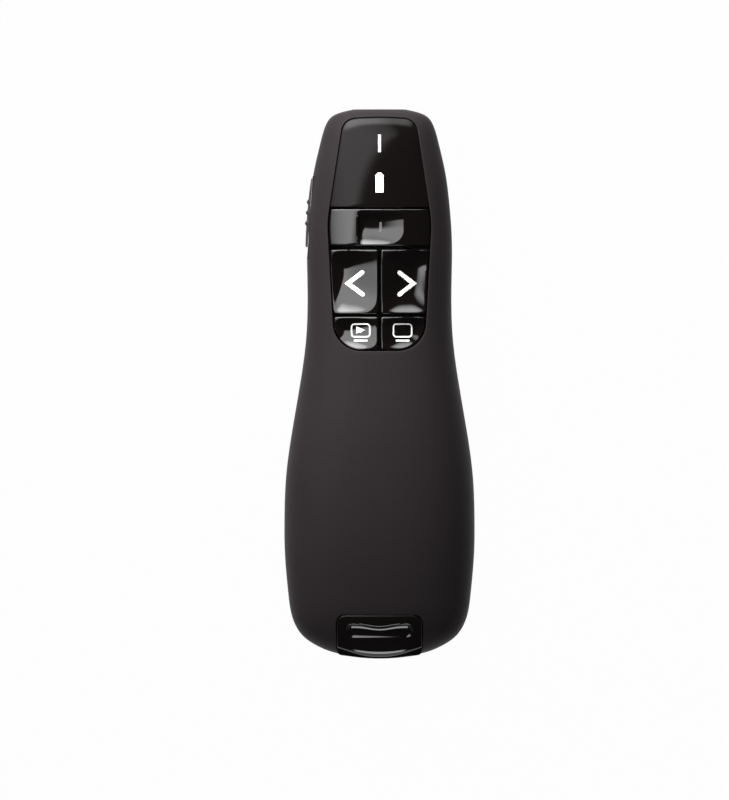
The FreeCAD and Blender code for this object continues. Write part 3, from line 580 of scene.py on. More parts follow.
batterySleeve = {
    "dark": (0.05, 0.055, 0.065), "pale": (0.32, 0.33, 0.34), "dust": (0.2, 0.2, 0.2),
    "roughness": 0.28, "cloud": 2.0, "bands": 260.0}


def softTouchFinish():
    look = softTouch
    f = Finish("softTouchBlack")
    grain = f.noise(look["grain"], 2.0, 0.6)
    cloud = f.noise(look["cloud"], 3.0)
    rub = f.ramp(f.noise(look["rub"], 4.0, 0.65), [(0.52, 0), (0.74, 1)])
    edge = f.edges(look["edge"])
    colour = f.blend(cloud, shade(look["colour"], 0.94), shade(look["colour"], 1.06))
    colour = f.blend(grain * 0.22, colour, shade(look["colour"], 1.5))
    colour = f.blend(edge * 0.35, colour, shade(look["colour"], 1.9))
    roughness = look["roughness"] + (grain - 0.5) * 0.16 - rub * 0.05 - edge * 0.1
    return f.close({
        "Base Color": colour, "Roughness": roughness, "Specular IOR Level": look["sheen"],
        "Normal": f.bump(grain, look["grainDepth"])})


def glossFinish(name, look):
    f = Finish(name)
    ripple = f.noise(look["ripple"], 1.0)
    film = f.noise(look["film"], 4.0, 0.6)
    colour = f.blend(film, look["colour"], shade(look["colour"], 1.35))
    scuff = f.ramp(f.noise(look["scuff"], 3.0, 0.7), [(0.6, 0), (0.85, 1)])
    roughness = look["roughness"] + film * 0.03 + scuff * 0.025
    return f.close({
        "Base Color": colour, "Roughness": roughness, "IOR": 1.52, "Specular IOR Level": look["shine"],
        "Normal": f.bump(ripple, look["rippleDepth"])})


def mouldedFinish(name, colour, roughness, grain=0.25, depth=0.01, edgeRadius=0.15):
    f = Finish(name)
    texture = f.noise(grain, 2.0, 0.55)
    cloud = f.noise(5.0, 3.0)
    edge = f.edges(edgeRadius)
    tone = f.blend(cloud, shade(colour, 0.9), shade(colour, 1.1))
    tone = f.blend(edge * 0.4, tone, shade(colour, 1.7))
    return f.close({
        "Base Color": tone, "Roughness": roughness + (texture - 0.5) * 0.15 - edge * 0.1,
        "Specular IOR Level": 0.4,
        "Normal": f.bump(texture, depth, f.rounded(edgeRadius * 0.7))})


def printFinish():
    look = printWhite
    f = Finish("printWhite")
    speck = f.noise(look["speck"], 2.0, 0.6)
    colour = f.blend(speck, shade(look["colour"], 0.97), look["colour"])
    return f.close({
        "Base Color": colour, "Roughness": look["roughness"] + (speck - 0.5) * 0.1,
        "Normal": f.bump(speck, look["depth"])})


def guideFinish():
    look = guideWhite
    f = Finish("lightGuideWhite")
    haze = f.noise(look["haze"], 3.0)
    colour = f.blend(haze, shade(look["colour"], 0.97), look["colour"])
    # the white guides get a faint painted glow of their own, though no lamp shines behind them
    return f.close({
        "Base Color": colour, "Roughness": look["roughness"] + (haze - 0.5) * 0.1,
        "Emission Color": (1.0, 1.0, 1.0), "Emission Strength": look["glow"],
        "Normal": f.bump(haze, look["depth"])})


def metalFinish(name, colour, roughness, grain=0.3):
    f = Finish(name)
    brushed = f.noise(grain, 4.0, 0.65)
    dull = f.noise(2.5, 3.0)
    edge = f.edges(0.12)
    tone = f.blend(dull, shade(colour, 0.88), colour)
    tone = f.blend(edge * 0.5, tone, shade(colour, 1.15))
    return f.close({
        "Base Color": tone, "Metallic": 1.0,
        "Roughness": roughness + (brushed - 0.5) * 0.14 + (dull - 0.5) * 0.08,
        "Normal": f.bump(brushed, 0.002, f.rounded(0.08))})


def boardFinish():
    f = Finish("boardGreen")
    weave = f.node("ShaderNodeTexWave", {"wave_type": "BANDS"}, {
        "Vector": f.place(), "Scale": 700.0, "Distortion": 1.5, "Detail": 2.0})
    tracks = f.ramp(f.node("ShaderNodeTexBrick", {"offset": 0.5}, {
        "Vector": f.place(), "Scale": 260.0, "Mortar Size": 0.03, "Color1": (0, 0, 0), "Color2": (0, 0, 0),
        "Mortar": (1, 1, 1)}), [(0.3, 0), (0.7, 1)])
    tone = f.blend(weave * 0.3, (0.004, 0.020, 0.009), (0.006, 0.028, 0.012))
    tone = f.blend(tracks * 0.5, tone, (0.010, 0.045, 0.020))
    return f.close({"Base Color": tone, "Roughness": 0.35 + weave * 0.1, "Normal": f.bump(tracks, 0.02)})


def lensFinish(name, colour, roughness, clear):
    f = Finish(name)
    haze = f.noise(0.8, 3.0)
    return f.close({
        "Base Color": f.blend(haze, colour, shade(colour, 0.95)),
        "Roughness": roughness + haze * 0.03, "Transmission Weight": clear, "IOR": 1.49})


def sleeveFinish():
    # a plain cell: a dark sleeve with pale bands
    look = batterySleeve
    f = Finish("batterySleeve")
    lengthwise = f.node("ShaderNodeSeparateXYZ", inputs={0: f.place()}, output="Y")
    cloud = f.ramp(f.noise(look["cloud"], 2.0), [(0.0, 0), (1.0, 1)])
    wave = f.node("ShaderNodeMath", {"operation": "SINE"}, {0: lengthwise * look["bands"]})
    pale = f.ramp(wave, [(0.82, 0), (0.86, 1)])
    tone = f.blend(pale, look["dark"], look["pale"])
    tone = f.blend(cloud * 0.1, tone, look["dust"])
    return f.close({
        "Base Color": tone, "Roughness": look["roughness"] + cloud * 0.1, "Normal": f.bump(cloud, 0.01)})


finishes = {
    "soft_touch_black": softTouchFinish(),
    "gloss_black": glossFinish("glossBlack", glossBlack),
    "moulded_black": mouldedFinish("mouldedBlack", (0.012, 0.0108, 0.011), 0.5),
    "light_guide_white": guideFinish(),
    "switch_grey": mouldedFinish("switchGrey", (0.18, 0.185, 0.19), 0.42, 0.2, 0.006),
    "plated_steel": metalFinish("platedSteel", (0.62, 0.61, 0.58), 0.3),
    "barrel_brass": metalFinish("barrelBrass", (0.72, 0.5, 0.22), 0.28),
    "clear_lens": lensFinish("clearLens", (0.95, 0.97, 0.98), 0.03, 1.0),
    "smoked_window": lensFinish("smokedWindow", (0.25, 0.04, 0.04), 0.04, 0.85),
    "board_green": boardFinish(),
    "can_aluminium": metalFinish("canAluminium", (0.78, 0.78, 0.79), 0.32),
    "battery_sleeve": sleeveFinish(),
    "plug_nickel": metalFinish("plugNickel", (0.68, 0.67, 0.65), 0.22),
    "contact_gold": metalFinish("contactGold", (0.85, 0.62, 0.25), 0.2),
}
markFinish = printFinish()
tickFinish = mouldedFinish("printGrey", (0.10, 0.10, 0.10), 0.35, 0.12, 0.002, 0.05)
plateFinish = glossFinish("plateBlack", plateBlack)


# the recess for plate and keys
deck = {
    "noseY": 55.8,
    "noseCrown": 0.4,
    "noseHalfWidth": 7.65,
    "noseRadius": 3.1,
    "waistY": 34.0,
    "waistHalfWidth": 11.0,
    "waistRadius": 25.0,
    "crownRadius": 40.0,
    "tailY": 6.9,
    "tailHalfWidth": 9.5,
    "tailRadius": 6.0,
    "plateEdgeY": 37.0,
    "plateGap": 0.12,
    "keyGap": 0.18,
    "pocketDepth": 1.25,
}


def deckOutline(inset, step=0.3):
    # the recess's outline from above, drawn in by inset
    half = [
        (deck["noseHalfWidth"] - inset, deck["noseY"] - inset, deck["noseRadius"] - inset),
        (deck["waistHalfWidth"] - inset, deck["waistY"], deck["waistRadius"]),
        (deck["tailHalfWidth"] - inset, deck["tailY"] + inset, deck["tailRadius"] - inset),
    ]
    crown = [(0, deck["noseY"] + deck["noseCrown"] - inset, deck["crownRadius"])]
    other = [(-x, y, radius) for x, y, radius in reversed(half)]
    return arcCorners(crown + half + other, step)


def withCrossings(points, axis, limit):
    # the same outline with a point added wherever it crosses the line
    result = []
    for a, b in zip(points, np.roll(points, -1, 0)):
        result.append(a)
        if (a[axis] - limit) * (b[axis] - limit) < 0:
            result.append(a + (b - a) * (limit - a[axis]) / (b[axis] - a[axis]))
    return np.array(result)


shellLook = {
    "rim": 0.2,
    "rimSteps": 4,
    "step": 0.7,
    "wall": 2.0,
    "seamGap": 0.12,
    "notchHalfWidth": 9.15,
    "notchFrontY": -48.5,
    "notchCorner": 1.7,
    "notchLength": 9.0,
    "notchSharp": 0.01,
    "notchStep": 0.25,
    "notchSideGap": 0.05,
    "notchFloorZ": 13.9,
    "noseBore": 2.26,
    "laserZ": 12.2,
    "pocketStep": 0.9,
    "innerStep": 1.1,
    "noseShares": (0.25, 0.5, 0.75, 1.0),
    "bridgeSteps": 14,
    "bridgeShare": 0.86,
    "bridgeThickness": 1.6,
    # how many points each stretch of the border gets
    "rightPoints": 170,
    "nosePoints": 60,
    "noseToTrackPoints": 22,
    "trackEndPoints": 5,
    "trackPoints": 24,
    "leftPoints": 125,
    "notchSidePoints": 26,
}
track = {
    # the flat on the left side that the knob slides along
    "frontX": -14.06,
    "rearX": -15.23,
    "frontY": 43.42,
    "rearY": 26.62,
    "highZ": 14.92,
    "middleY": 35.0,
    "ease": 0.4,
    "overlap": 0.3,
    "thickness": 0.4,
}


shellFootZ = bodyForm["seamZ"] + shellLook["seamGap"]


def sharePath(first, last, count):
    # evenly spaced points from first up to, but without, last
    s = np.linspace(0, 1, count + 1)[:-1, None]
    return np.array(first) * (1 - s) + np.array(last) * s


def notchOutline(tailY):
    # the notch's edge in plan, from its left end at the tail round to its right end
    look = shellLook
    half, frontY, radius = look["notchHalfWidth"], look["notchFrontY"], look["notchCorner"]
    backY, sharp = frontY - look["notchLength"], look["notchSharp"]
    box = arcCorners(
        [(-half, backY, sharp), (half, backY, sharp), (half, frontY, radius), (-half, frontY, radius)],
        look["notchStep"])
    front = box[box[:, 1] > frontY - radius - sharp]
    front = front[np.argsort(front[:, 0])]
    front = front[np.abs(front[:, 0]) < half - 1e-4]
    count = look["notchSidePoints"]
    sideYs = np.linspace(tailY, front[0, 1] - look["notchSideGap"], count + 1)[1:]
    left = np.column_stack([np.full(count, -half), sideYs])
    return np.vstack([left, front, (left * [-1, 1])[::-1]])


def shellBorder(inset, dented):
    # the upper shell's border in its flat pattern, and which of its points run along the nose
    look = shellLook
    table = bodyTable(inset)
    girth = bodyForm["girth"]
    end = table["at"][-1]
    middle = len(table["at"]) // 2
    tail = np.interp(look["notchHalfWidth"], table["width"][:middle // 2], table["at"][:middle // 2])
    notch = notchOutline(np.interp(tail, table["at"], table["y"]))
    middleAt, dentA, dentB = (
        np.interp(track[name], table["y"], table["at"]) for name in ("middleY", "frontY", "rearY"))
    rise = np.interp(middleAt, table["at"], table["rise"])
    share = np.interp(1 - (track["highZ"] - bodyForm["seamZ"]) / rise, 1 - sectionUp, across)
    inner = girth * share if dented else girth
    stretches = [
        sharePath((girth, tail), (girth, end), look["rightPoints"]),
        sharePath((girth, end), (-girth, end), look["nosePoints"]),
        sharePath((-girth, end), (-girth, dentA), look["noseToTrackPoints"]),
        sharePath((-girth, dentA), (-inner, dentA), look["trackEndPoints"]),
        sharePath((-inner, dentA), (-inner, dentB), look["trackPoints"]),
        sharePath((-inner, dentB), (-girth, dentB), look["trackEndPoints"]),
        sharePath((-girth, dentB), (-girth, tail), look["leftPoints"]),
        np.array([(-girth, tail)]),
        flatPattern(notch[:, 0], notch[:, 1], inset),
    ]
    if not dented:
        # the inner skin passes the track straight, with as many points
        ease, count = track["ease"], look["trackEndPoints"]
        stretches[3] = sharePath((-girth, dentA + ease), (-girth, dentA), count)
        stretches[5] = sharePath((-girth, dentB), (-girth, dentB - ease), count)
    nose = slice(len(stretches[0]), len(stretches[0]) + len(stretches[1]) + 1)
    return np.vstack(stretches), nose


def aboveSeam(points):
    points[:, 2] = np.maximum(points[:, 2], shellFootZ)
    return points


def outerSkin(plan, border, deckLoop):
    # the skin with its two rounded rims, at the border and round the recess; gives their feet
    look = shellLook
    rim = list(roundedRim(look["rim"], look["rimSteps"]))
    deckRows = [plan.add(underTop(shrinkLoop(deckLoop, -inward), down)) for inward, down in rim]
    borderRows = []
    for inward, down in rim:
        borderRows.append(plan.add(aboveSeam(skinPoint(shrinkLoop(border, inward), sink=down))))
    hole = shrinkLoop(deckLoop, -look["rim"])
    flat, _, faces = fillLoops(
        shrinkLoop(border, look["rim"]), [flatPattern(hole[:, 0], hole[:, 1])], look["step"])
    plan.patch(plan.add(aboveSeam(skinPoint(flat))), faces)
    for a, b in zip(borderRows, borderRows[1:]):
        plan.band(a, b)
    for a, b in zip(deckRows, deckRows[1:]):
        plan.band(a, b, True)
    return borderRows[0], deckRows[0]


def deckPocket(plan, deckLoop, rimFoot):
    # the pocket under the plate, then the opening for the keys; gives the opening's outline
    depth = deck["pocketDepth"]
    plan.band(rimFoot, plan.add(underTop(deckLoop, depth)), True)
    plateLoop, keyLoop = (cutLoop(deckLoop, 1, deck["plateEdgeY"], side) for side in (1, -1))
    flat, _, faces = fillLoops(plateLoop, [], shellLook["pocketStep"])
    plan.patch(plan.add(underTop(flat, depth)), faces)
    keyTop = plan.add(underTop(keyLoop, depth))
    keyFoot = plan.add(underTop(keyLoop, 0, shellLook["wall"]))
    plan.band(keyTop, keyFoot, True)
    return keyLoop


def innerSkin(plan, border, keyLoop, outerEdge, nose):
    # the inner skin and the bands that join both skins, but for the nose; gives its edge
    wall = shellLook["wall"]
    hole = flatPattern(keyLoop[:, 0], keyLoop[:, 1], wall)
    flat, _, faces = fillLoops(border, [hole], shellLook["innerStep"])
    plan.patch(plan.add(aboveSeam(skinPoint(flat, wall))), faces, True)
    edge = plan.add(aboveSeam(skinPoint(border, wall)))
    for run in (slice(0, nose.start + 1), slice(nose.stop - 1, None)):
        plan.band(edge[run], outerEdge[run], closed=False)
    plan.faces.append((edge[-1], edge[0], outerEdge[0], outerEdge[-1]))
    return edge


def noseEnd(plan, outerEdge, innerEdge):
    # the flat nose end with the upper half of the laser's bore
    look = shellLook
    low = math.asin((shellFootZ - look["laserZ"]) / look["noseBore"])
    angles = low + np.linspace(0, math.pi, len(outerEdge)) * (math.pi - 2 * low) / math.pi
    arc = np.column_stack([
        look["noseBore"] * np.cos(angles), np.full(len(outerEdge), bodyForm["halfLength"]),
        look["laserZ"] + look["noseBore"] * np.sin(angles)])
    outerArc = np.array([plan.points[i] for i in outerEdge])
    rows = [outerEdge] + [plan.add(outerArc * (1 - s) + arc * s) for s in look["noseShares"]]
    rows += [plan.add(arc - [0, look["wall"], 0]), innerEdge]
    for a, b in zip(rows, rows[1:]):
        plan.band(a, b, closed=False)


def tailBridge(plan):
    # the low bridge under the notch at the tail
    look = shellLook
    table = bodyTable(0.0)
    quarter = len(table["at"]) // 4
    tail = np.interp(look["notchHalfWidth"], table["width"][:quarter], table["at"][:quarter])
    path = []
    for t in np.linspace(tail, 0, look["bridgeSteps"]):
        width, rise, y = (np.interp(t, table["at"], table[name]) for name in ("width", "rise", "y"))
        share = np.interp((look["notchFloorZ"] - bodyForm["seamZ"]) / rise, sectionUp[::-1], across[::-1])
        path.append((width, width * np.interp(share, across, sectionOut), y))
    lastX, lastUpper, lastY = path[-1]
    path += [(lastX * 0.5, lastUpper * 0.5, lastY), (0, 0, lastY)]
    path += [(-x, -u, y) for x, u, y in path[-2::-1]]
    bridge = []
    for x, upperX, y in path:
        inX = x * look["bridgeShare"]
        inY = y + look["bridgeThickness"]
        bridge.append(plan.add([
            (x, y, shellFootZ), (upperX, y, look["notchFloorZ"]),
            (inX, inY, look["notchFloorZ"]), (inX, inY, shellFootZ)]))
    for a, b in zip(bridge, bridge[1:]):
        for k in range(4):
            plan.faces.append((a[k], a[(k + 1) % 4], b[(k + 1) % 4], b[k]))
    plan.faces.append(tuple(bridge[0]))
    plan.faces.append(tuple(bridge[-1][::-1]))


def trackFloor(plan):
    # a thin slab behind the knob
    over = track["overlap"]
    corners = []
    for push in (0.0, track["thickness"]):
        for x, y in ((track["frontX"], track["frontY"] + over), (track["rearX"], track["rearY"] - over)):
            for z in (shellFootZ, track["highZ"] + over):
                corners.append((x + push, y, z))
    ids = plan.add(corners)
    for quad in ((0, 1, 3, 2), (4, 6, 7, 5), (0, 2, 6, 4), (1, 5, 7, 3), (0, 4, 5, 1), (2, 3, 7, 6)):
        plan.faces.append(tuple(ids[i] for i in quad))


def upperShell():
    plan = MeshPlan()
    border, nose = shellBorder(0.0, True)
    innerBorder = shellBorder(shellLook["wall"], False)[0]
    deckLoop = withCrossings(deckOutline(0.0), 1, deck["plateEdgeY"])
    outerEdge, rimFoot = outerSkin(plan, border, deckLoop)
    keyLoop = deckPocket(plan, deckLoop, rimFoot)
    innerEdge = innerSkin(plan, innerBorder, keyLoop, outerEdge, nose)
    noseEnd(plan, outerEdge[nose], innerEdge[nose])
    tailBridge(plan)
    trackFloor(plan)
    piece = plan.makeObject("upperShell")
    return finishPiece(piece, "housing", "soft_touch_black", finishes["soft_touch_black"], "upper_shell")


plateLook = {
    "sink": 0.10,
    "rim": 0.16,
    "depth": 1.0,
    "step": 0.4,
    "cornerRadius": 0.4,
    "barHalfWidth": 0.31,
    "barLowY": 48.67,
    "barHighY": 52.38,
    "signHalfWidth": 0.87,
    "signLowY": 40.17,
    "signHighY": 44.43,
    "signCorner": 0.55,
    "windowStep": 0.3,
    "outlineStep": 0.25,
    "guideGap": 0.01,
    "guideSink": 0.02,
    "guideRim": 0.04,
}


def plateHeight(x, y):
    return topHeight(x, y, plateLook["sink"])


def guideLoops():
    # the outlines of the bar window and of the battery shaped window
    look = plateLook
    half, low, high = look["barHalfWidth"], look["barLowY"], look["barHighY"]
    bar = np.array([(-half, low), (half, low), (half, high), (-half, high)])
    half, low, high, corner = look["signHalfWidth"], look["signLowY"], look["signHighY"], look["signCorner"]
    sign = np.array([
        (-half, low), (half, low), (half, high - corner), (half - corner, high), (corner - half, high),
        (-half, high - corner)])
    return evenLoop(bar, look["windowStep"]), evenLoop(sign, look["windowStep"])


def indicatorPlate():
    look = plateLook
    outline = cutLoop(deckOutline(deck["plateGap"]), 1, deck["plateEdgeY"] + deck["plateGap"], 1)
    outline = softenLoop(outline, look["cornerRadius"], look["outlineStep"])
    windows = guideLoops()
    piece = capPiece(
        "indicatorPlate", outline, plateHeight, look["rim"], look["depth"], look["step"], windows)
    finishPiece(piece, "housing", "gloss_black", plateFinish, "indicator_plate")
    guides = (("laserLightGuide", "laser_light_guide"), ("batteryLightGuide", "battery_light_guide"))
    for (name, node), loop in zip(guides, windows):
        guide = capPiece(
            name, shrinkLoop(loop, look["guideGap"]), lambda x, y: plateHeight(x, y) - look["guideSink"],
            look["guideRim"], None, look["step"], footZ=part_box(node)[0][2] / mm)
        finishPiece(guide, "housing", "light_guide_white", finishes["light_guide_white"], node)


keyLook = {
    "sink": 0.30,
    "rim": 0.38,
    "cornerRadius": 0.45,
    "footZ": 18.2,
    "step": 0.22,
    # piece, hollow, side (1 right, -1 left), tail end, nose end, inner edge, body and node
    "keys": [
        ("laserKey", "laser", 1, 29.0, 36.82, None, "laser_button", "laser_key"),
        ("forwardKey", "forward", 1, 14.65, 28.25, 0.275, "forward_button", "forward_key"),
        ("backKey", "back", -1, 14.65, 28.25, 0.275, "back_button", "back_key"),
        ("blankScreenKey", "blankScreen", 1, None, 14.15, 0.275, "blank_screen_button", "blank_screen_key"),
        ("slideshowKey", "slideshow", -1, None, 14.15, 0.275, "slideshow_button", "slideshow_key"),
    ],
}
bowls = {
    # the hollow of each key, drawn for its right hand side: the deepest point and how its lines
    # slant, then the edge and steepness of its inner, outer, tail and nose side, how square its
    # corners are, how deep it is and how soft its lip
    "softness": 0.8,
    "laser": {
        "deepest": (-3.0, 33.7), "slant": (0.0, 0.08), "inner": (-4.6, 2.0), "outer": (5.35, 2.0),
        "tail": (29.05, 2.0), "nose": (36.6, 1.15), "square": 1.5, "depth": 1.30, "lip": 0.02},
    "forward": {
        "deepest": (6.6, 23.9), "slant": (0.16, 0.0), "inner": (0.3, 1.3), "outer": (11.2, 1.3),
        "tail": (14.4, 2.2), "nose": (28.1, 1.3), "square": 2.2, "depth": 2.25, "lip": 0.02},
    "back": {
        "deepest": (7.0, 23.9), "slant": (0.0, 0.0), "inner": (0.3, 1.3), "outer": (10.3, 1.5),
        "tail": (14.75, 2.2), "nose": (28.1, 1.3), "square": 2.2, "depth": 1.9, "lip": 0.02},
    "blankScreen": {
        "deepest": (5.8, 11.4), "slant": (0.15, 0.0), "inner": (0.3, 1.3), "outer": (10.4, 1.3),
        "tail": (6.8, 1.4), "nose": (14.0, 1.15), "square": 2.0, "depth": 1.50, "lip": 0.03},
    "slideshow": {
        "deepest": (6.7, 10.9), "slant": (0.0, 0.0), "inner": (0.3, 1.3), "outer": (9.7, 1.5),
        "tail": (7.1, 1.5), "nose": (14.0, 1.15), "square": 1.9, "depth": 1.2, "lip": 0.03},
}


def bowlDrop(x, y, spec, mirror=1):
    # how far a key's hollow lies under its own top
    soft = bowls["softness"]
    midX, midY = spec["deepest"]
    ahead, up = mirror * x - midX, y - midY
    climb = 0.0
    sides = (
        (ahead, up, spec["slant"][0], midX, "inner", "outer"),
        (up, ahead, spec["slant"][1], midY, "tail", "nose"))
    for here, other, slant, start, less, more in sides:
        away = here - slant * other
        edge = np.where(away > 0, spec[more][0], spec[less][0]) - start - slant * other
        steep = np.where(away > 0, spec[more][1], spec[less][1])
        rise = (np.hypot(away, soft) - soft) / (np.hypot(edge, soft) - soft)
        climb = climb + rise ** (steep * spec["square"])
    share = np.maximum(1 - climb ** (1 / spec["square"]), 0)
    lip = spec["lip"]
    return spec["depth"] * (np.sqrt(share ** 2 + lip ** 2) - lip)


def keyHeight(kind, mirror=1):
    spec = bowls[kind]
    return lambda x, y: topHeight(x, y, keyLook["sink"]) - bowlDrop(x, y, spec, mirror)


def keyOutline(mirror, low, high, left):
    # the deck's outline cut to one key, where None leaves that end uncut
    outline = deckOutline(deck["keyGap"])
    if low is not None:
        outline = cutLoop(outline, 1, low, 1)
    if high is not None:
        outline = cutLoop(outline, 1, high, -1)
    if left is not None:
        outline = cutLoop(outline, 0, left, 1)
    outline = softenLoop(outline, keyLook["cornerRadius"], keyLook["step"])
    if mirror < 0:
        outline = (outline * [-1, 1])[::-1]
    return outline


def keyCaps():
    look = keyLook
    for name, kind, mirror, low, high, left, body, node in look["keys"]:
        piece = capPiece(
            name, keyOutline(mirror, low, high, left), keyHeight(kind, mirror), look["rim"], None,
            look["step"], footZ=look["footZ"])
        finishPiece(piece, body, "gloss_black", finishes["gloss_black"], node)


marks = {
    # the printed signs on the keys
    "lift": 0.02,
    "depth": 0.05,
    "chevronWidth": 0.90,
    "backChevron": [(-3.62, 23.45), (-6.62, 21.12), (-3.55, 18.83)],
    "forwardChevron": [(4.20, 23.38), (7.20, 21.06), (4.20, 18.82)],
    "frameHalf": (2.06, 1.48),
    "frameCorner": 0.75,
    "frameStroke": 0.30,
    "slideshowCentre": (-3.97, 11.24),
    "blankScreenCentre": (4.83, 11.24),
    "barHalf": (1.45, 0.18),
    "barDrop": 2.13,
    "barShift": 0.02,
    "barCorner": 0.1,
    "triangle": (1.02, 0.84),
    "tick": (0.25, 1.05),
    "tickCentre": (0.22, 32.95),
    "tickCorner": 0.12,
    "strokeStep": 0.16,
    "endPieces": 8,
    "boxStep": 0.14,
    "fillStep": 0.2,
}


def strokeLoop(path, width):
    # the outline of a bent stroke with round ends
    path = np.array(path, float)
    half = width / 2
    points = []
    count = len(path)
    sides = []
    for i in range(count - 1):
        run = path[i + 1] - path[i]
        run /= np.linalg.norm(run)
        sides.append((run, np.array([-run[1], run[0]])))

    def cap(centre, heading):
        for k in range(marks["endPieces"] + 1):
            angle = heading + math.pi / 2 - math.pi * k / marks["endPieces"]
            points.append(centre + half * np.array([math.cos(angle), math.sin(angle)]))

    def corner(i, sign):
        a, b = sides[i - 1][1], sides[i][1]
        bisect = (a + b) / np.linalg.norm(a + b)
        points.append(path[i] + sign * bisect * half / (bisect @ a))

    for i in range(1, count - 1):
        corner(i, 1)
    cap(path[-1], math.atan2(sides[-1][0][1], sides[-1][0][0]))
    for i in range(count - 2, 0, -1):
        corner(i, -1)
    cap(path[0], math.atan2(-sides[0][0][1], -sides[0][0][0]))
    return evenLoop(np.array(points), marks["strokeStep"])


def boxLoop(centre, half, corner):
    # a rounded box's outline
    x, y = centre
    return arcCorners([
        (x - half[0], y - half[1], corner), (x + half[0], y - half[1], corner),
        (x + half[0], y + half[1], corner), (x - half[0], y + half[1], corner)], marks["boxStep"])


def markPiece(name, shapes, height, body, material):
    # printed ink: each shape is an outer loop with its inner loops, laid on the key's top
    plan = MeshPlan()
    for outer, holes in shapes:
        flat, loops, faces = fillLoops(outer, holes, marks["fillStep"])
        z = height(flat[:, 0], flat[:, 1])
        top = plan.add(np.column_stack([flat, z + marks["lift"]]))
        under = plan.add(np.column_stack([flat, z - marks["depth"]]))
        plan.patch(top, faces)
        plan.patch(under, faces, True)
        for loop in loops:
            plan.band([under[i] for i in loop], [top[i] for i in loop])
    return finishPiece(plan.makeObject(name), body, "light_guide_white", material)


def screenShapes(centre):
    # a rounded frame with a short bar under it
    half, corner = marks["frameHalf"], marks["frameCorner"]
    inner = (half[0] - marks["frameStroke"], half[1] - marks["frameStroke"])
    frameRing = (boxLoop(centre, half, corner), [boxLoop(centre, inner, corner - marks["frameStroke"])])
    barCentre = (centre[0] + marks["barShift"], centre[1] - marks["barDrop"])
    return [frameRing, (boxLoop(barCentre, marks["barHalf"], marks["barCorner"]), [])]


def keySigns():
    width = marks["chevronWidth"]
    x, y = marks["slideshowCentre"]
    long, tall = marks["triangle"]
    triangle = evenLoop(np.array([
        (x - long * 0.9, y - tall), (x + long * 1.1, y), (x - long * 0.9, y + tall)]), marks["strokeStep"])
    tick = boxLoop(marks["tickCentre"], marks["tick"], marks["tickCorner"])
    forward, back = (strokeLoop(marks[name], width) for name in ("forwardChevron", "backChevron"))
    screen = screenShapes(marks["blankScreenCentre"])
    signs = (
        ("forwardSign", [(forward, [])], "forward", 1, "forward_button"),
        ("backSign", [(back, [])], "back", -1, "back_button"),
        ("blankScreenSign", screen, "blankScreen", 1, "blank_screen_button"),
        ("slideshowSign", screenShapes((x, y)) + [(triangle, [])], "slideshow", -1, "slideshow_button"),
    )
    for name, shapes, kind, mirror, body in signs:
        markPiece(name, shapes, keyHeight(kind, mirror), body, markFinish)
    markPiece("laserSign", [(tick, [])], keyHeight("laser"), "laser_button", tickFinish)


receiver = {
    # the end of the stowed receiver that shows at the tail, its thumb scoop and its case
    "halfWidth": 8.9,
    "frontY": -48.65,
    "tailCornerY": -56.9,
    "bulge": 1.15,
    "bulgeRadius": 40.0,
    "tailRadius": 1.0,
    "frontRadius": 1.7,
    "sink": 0.12,
    "frontSink": 0.22,
    "reach": 1.13,
    "easeY": -53.6,
    "easeSlope": 0.56,
    "edgeY": -56.9,
    "edgeBow": 1.55,
    "edgeWide": 0.70,
    "edgeDrop": 0.20,
    "ledgeZ": 18.2,
    "ledgeSlope": 0.15,
    "rim": 0.08,
    "splitZ": 17.05,
    "scoopHalf": 5.5,
    "scoopY": -52.4,
    "scoopRadius": 1.80,
    "scoopDepth": 0.72,
    "scoopSpread": 0.88,
    "scoopWave": 0.34,
    "scoopLip": 0.18,
    "scoopStraight": 40.0,
    "waveHalf": 2.6,
    "frontEase": 1.5,
    "capStep": 0.12,
    "outlineStep": 0.2,
    "lipBulge": 1.9,  # times the edge's bow
    "lipRadius": 18.0,
    "lipCorner": 0.5,
    "ledgeStep": 0.5,
    "caseFrontY": -17.5,
    "caseTopZ": 19.95,
    "caseCorner": 2.0,
    "caseTailCorner": 0.3,
    "caseOverlap": 0.5,
    "caseOutlineStep": 0.5,
    "caseRim": 0.3,
    "caseStep": 1.2,
}


def receiverHeight(x, y):
    # the stowed end: it follows the shell, eases off towards the tail and ends in a lifted edge
    look = receiver
    share = (x / look["halfWidth"]) ** 2
    edgeY = look["edgeY"] + look["edgeBow"] * share
    wide = look["edgeWide"] * (1 - 0.5 * share)
    easeY = look["easeY"]
    top = topHeight(x, np.maximum(y, easeY) + look["reach"], look["sink"])
    top = top - np.maximum(easeY - y, 0) * look["easeSlope"]
    ease = look["frontEase"]
    top = top - look["frontSink"] * np.clip((y - look["frontY"] + ease) / ease, 0, 1) ** 2
    fall = np.clip((edgeY + wide - y) / wide, 0, 2)
    top = top - look["edgeDrop"] * fall ** 2
    centreZ = topHeight(x, np.full_like(y, look["scoopY"] + look["reach"]), look["sink"])
    centreZ = centreZ + look["scoopRadius"] - look["scoopDepth"]
    away = y - look["scoopY"]
    wave = look["scoopSpread"] + look["scoopWave"] * np.exp(-(x / look["waveHalf"]) ** 2)
    away = np.where(away > 0, away * wave, away)
    out = np.hypot(np.maximum(np.abs(x) - look["scoopHalf"], 0), away)
    hollow = centreZ - np.sqrt(np.maximum(look["scoopRadius"] ** 2 - out ** 2, 0))
    hollow = hollow + np.maximum(out - look["scoopRadius"], 0) * look["scoopStraight"]
    gap = top - hollow
    soft = np.sqrt(gap ** 2 + look["scoopLip"] ** 2)
    return top - (gap + soft - look["scoopLip"]) / 2


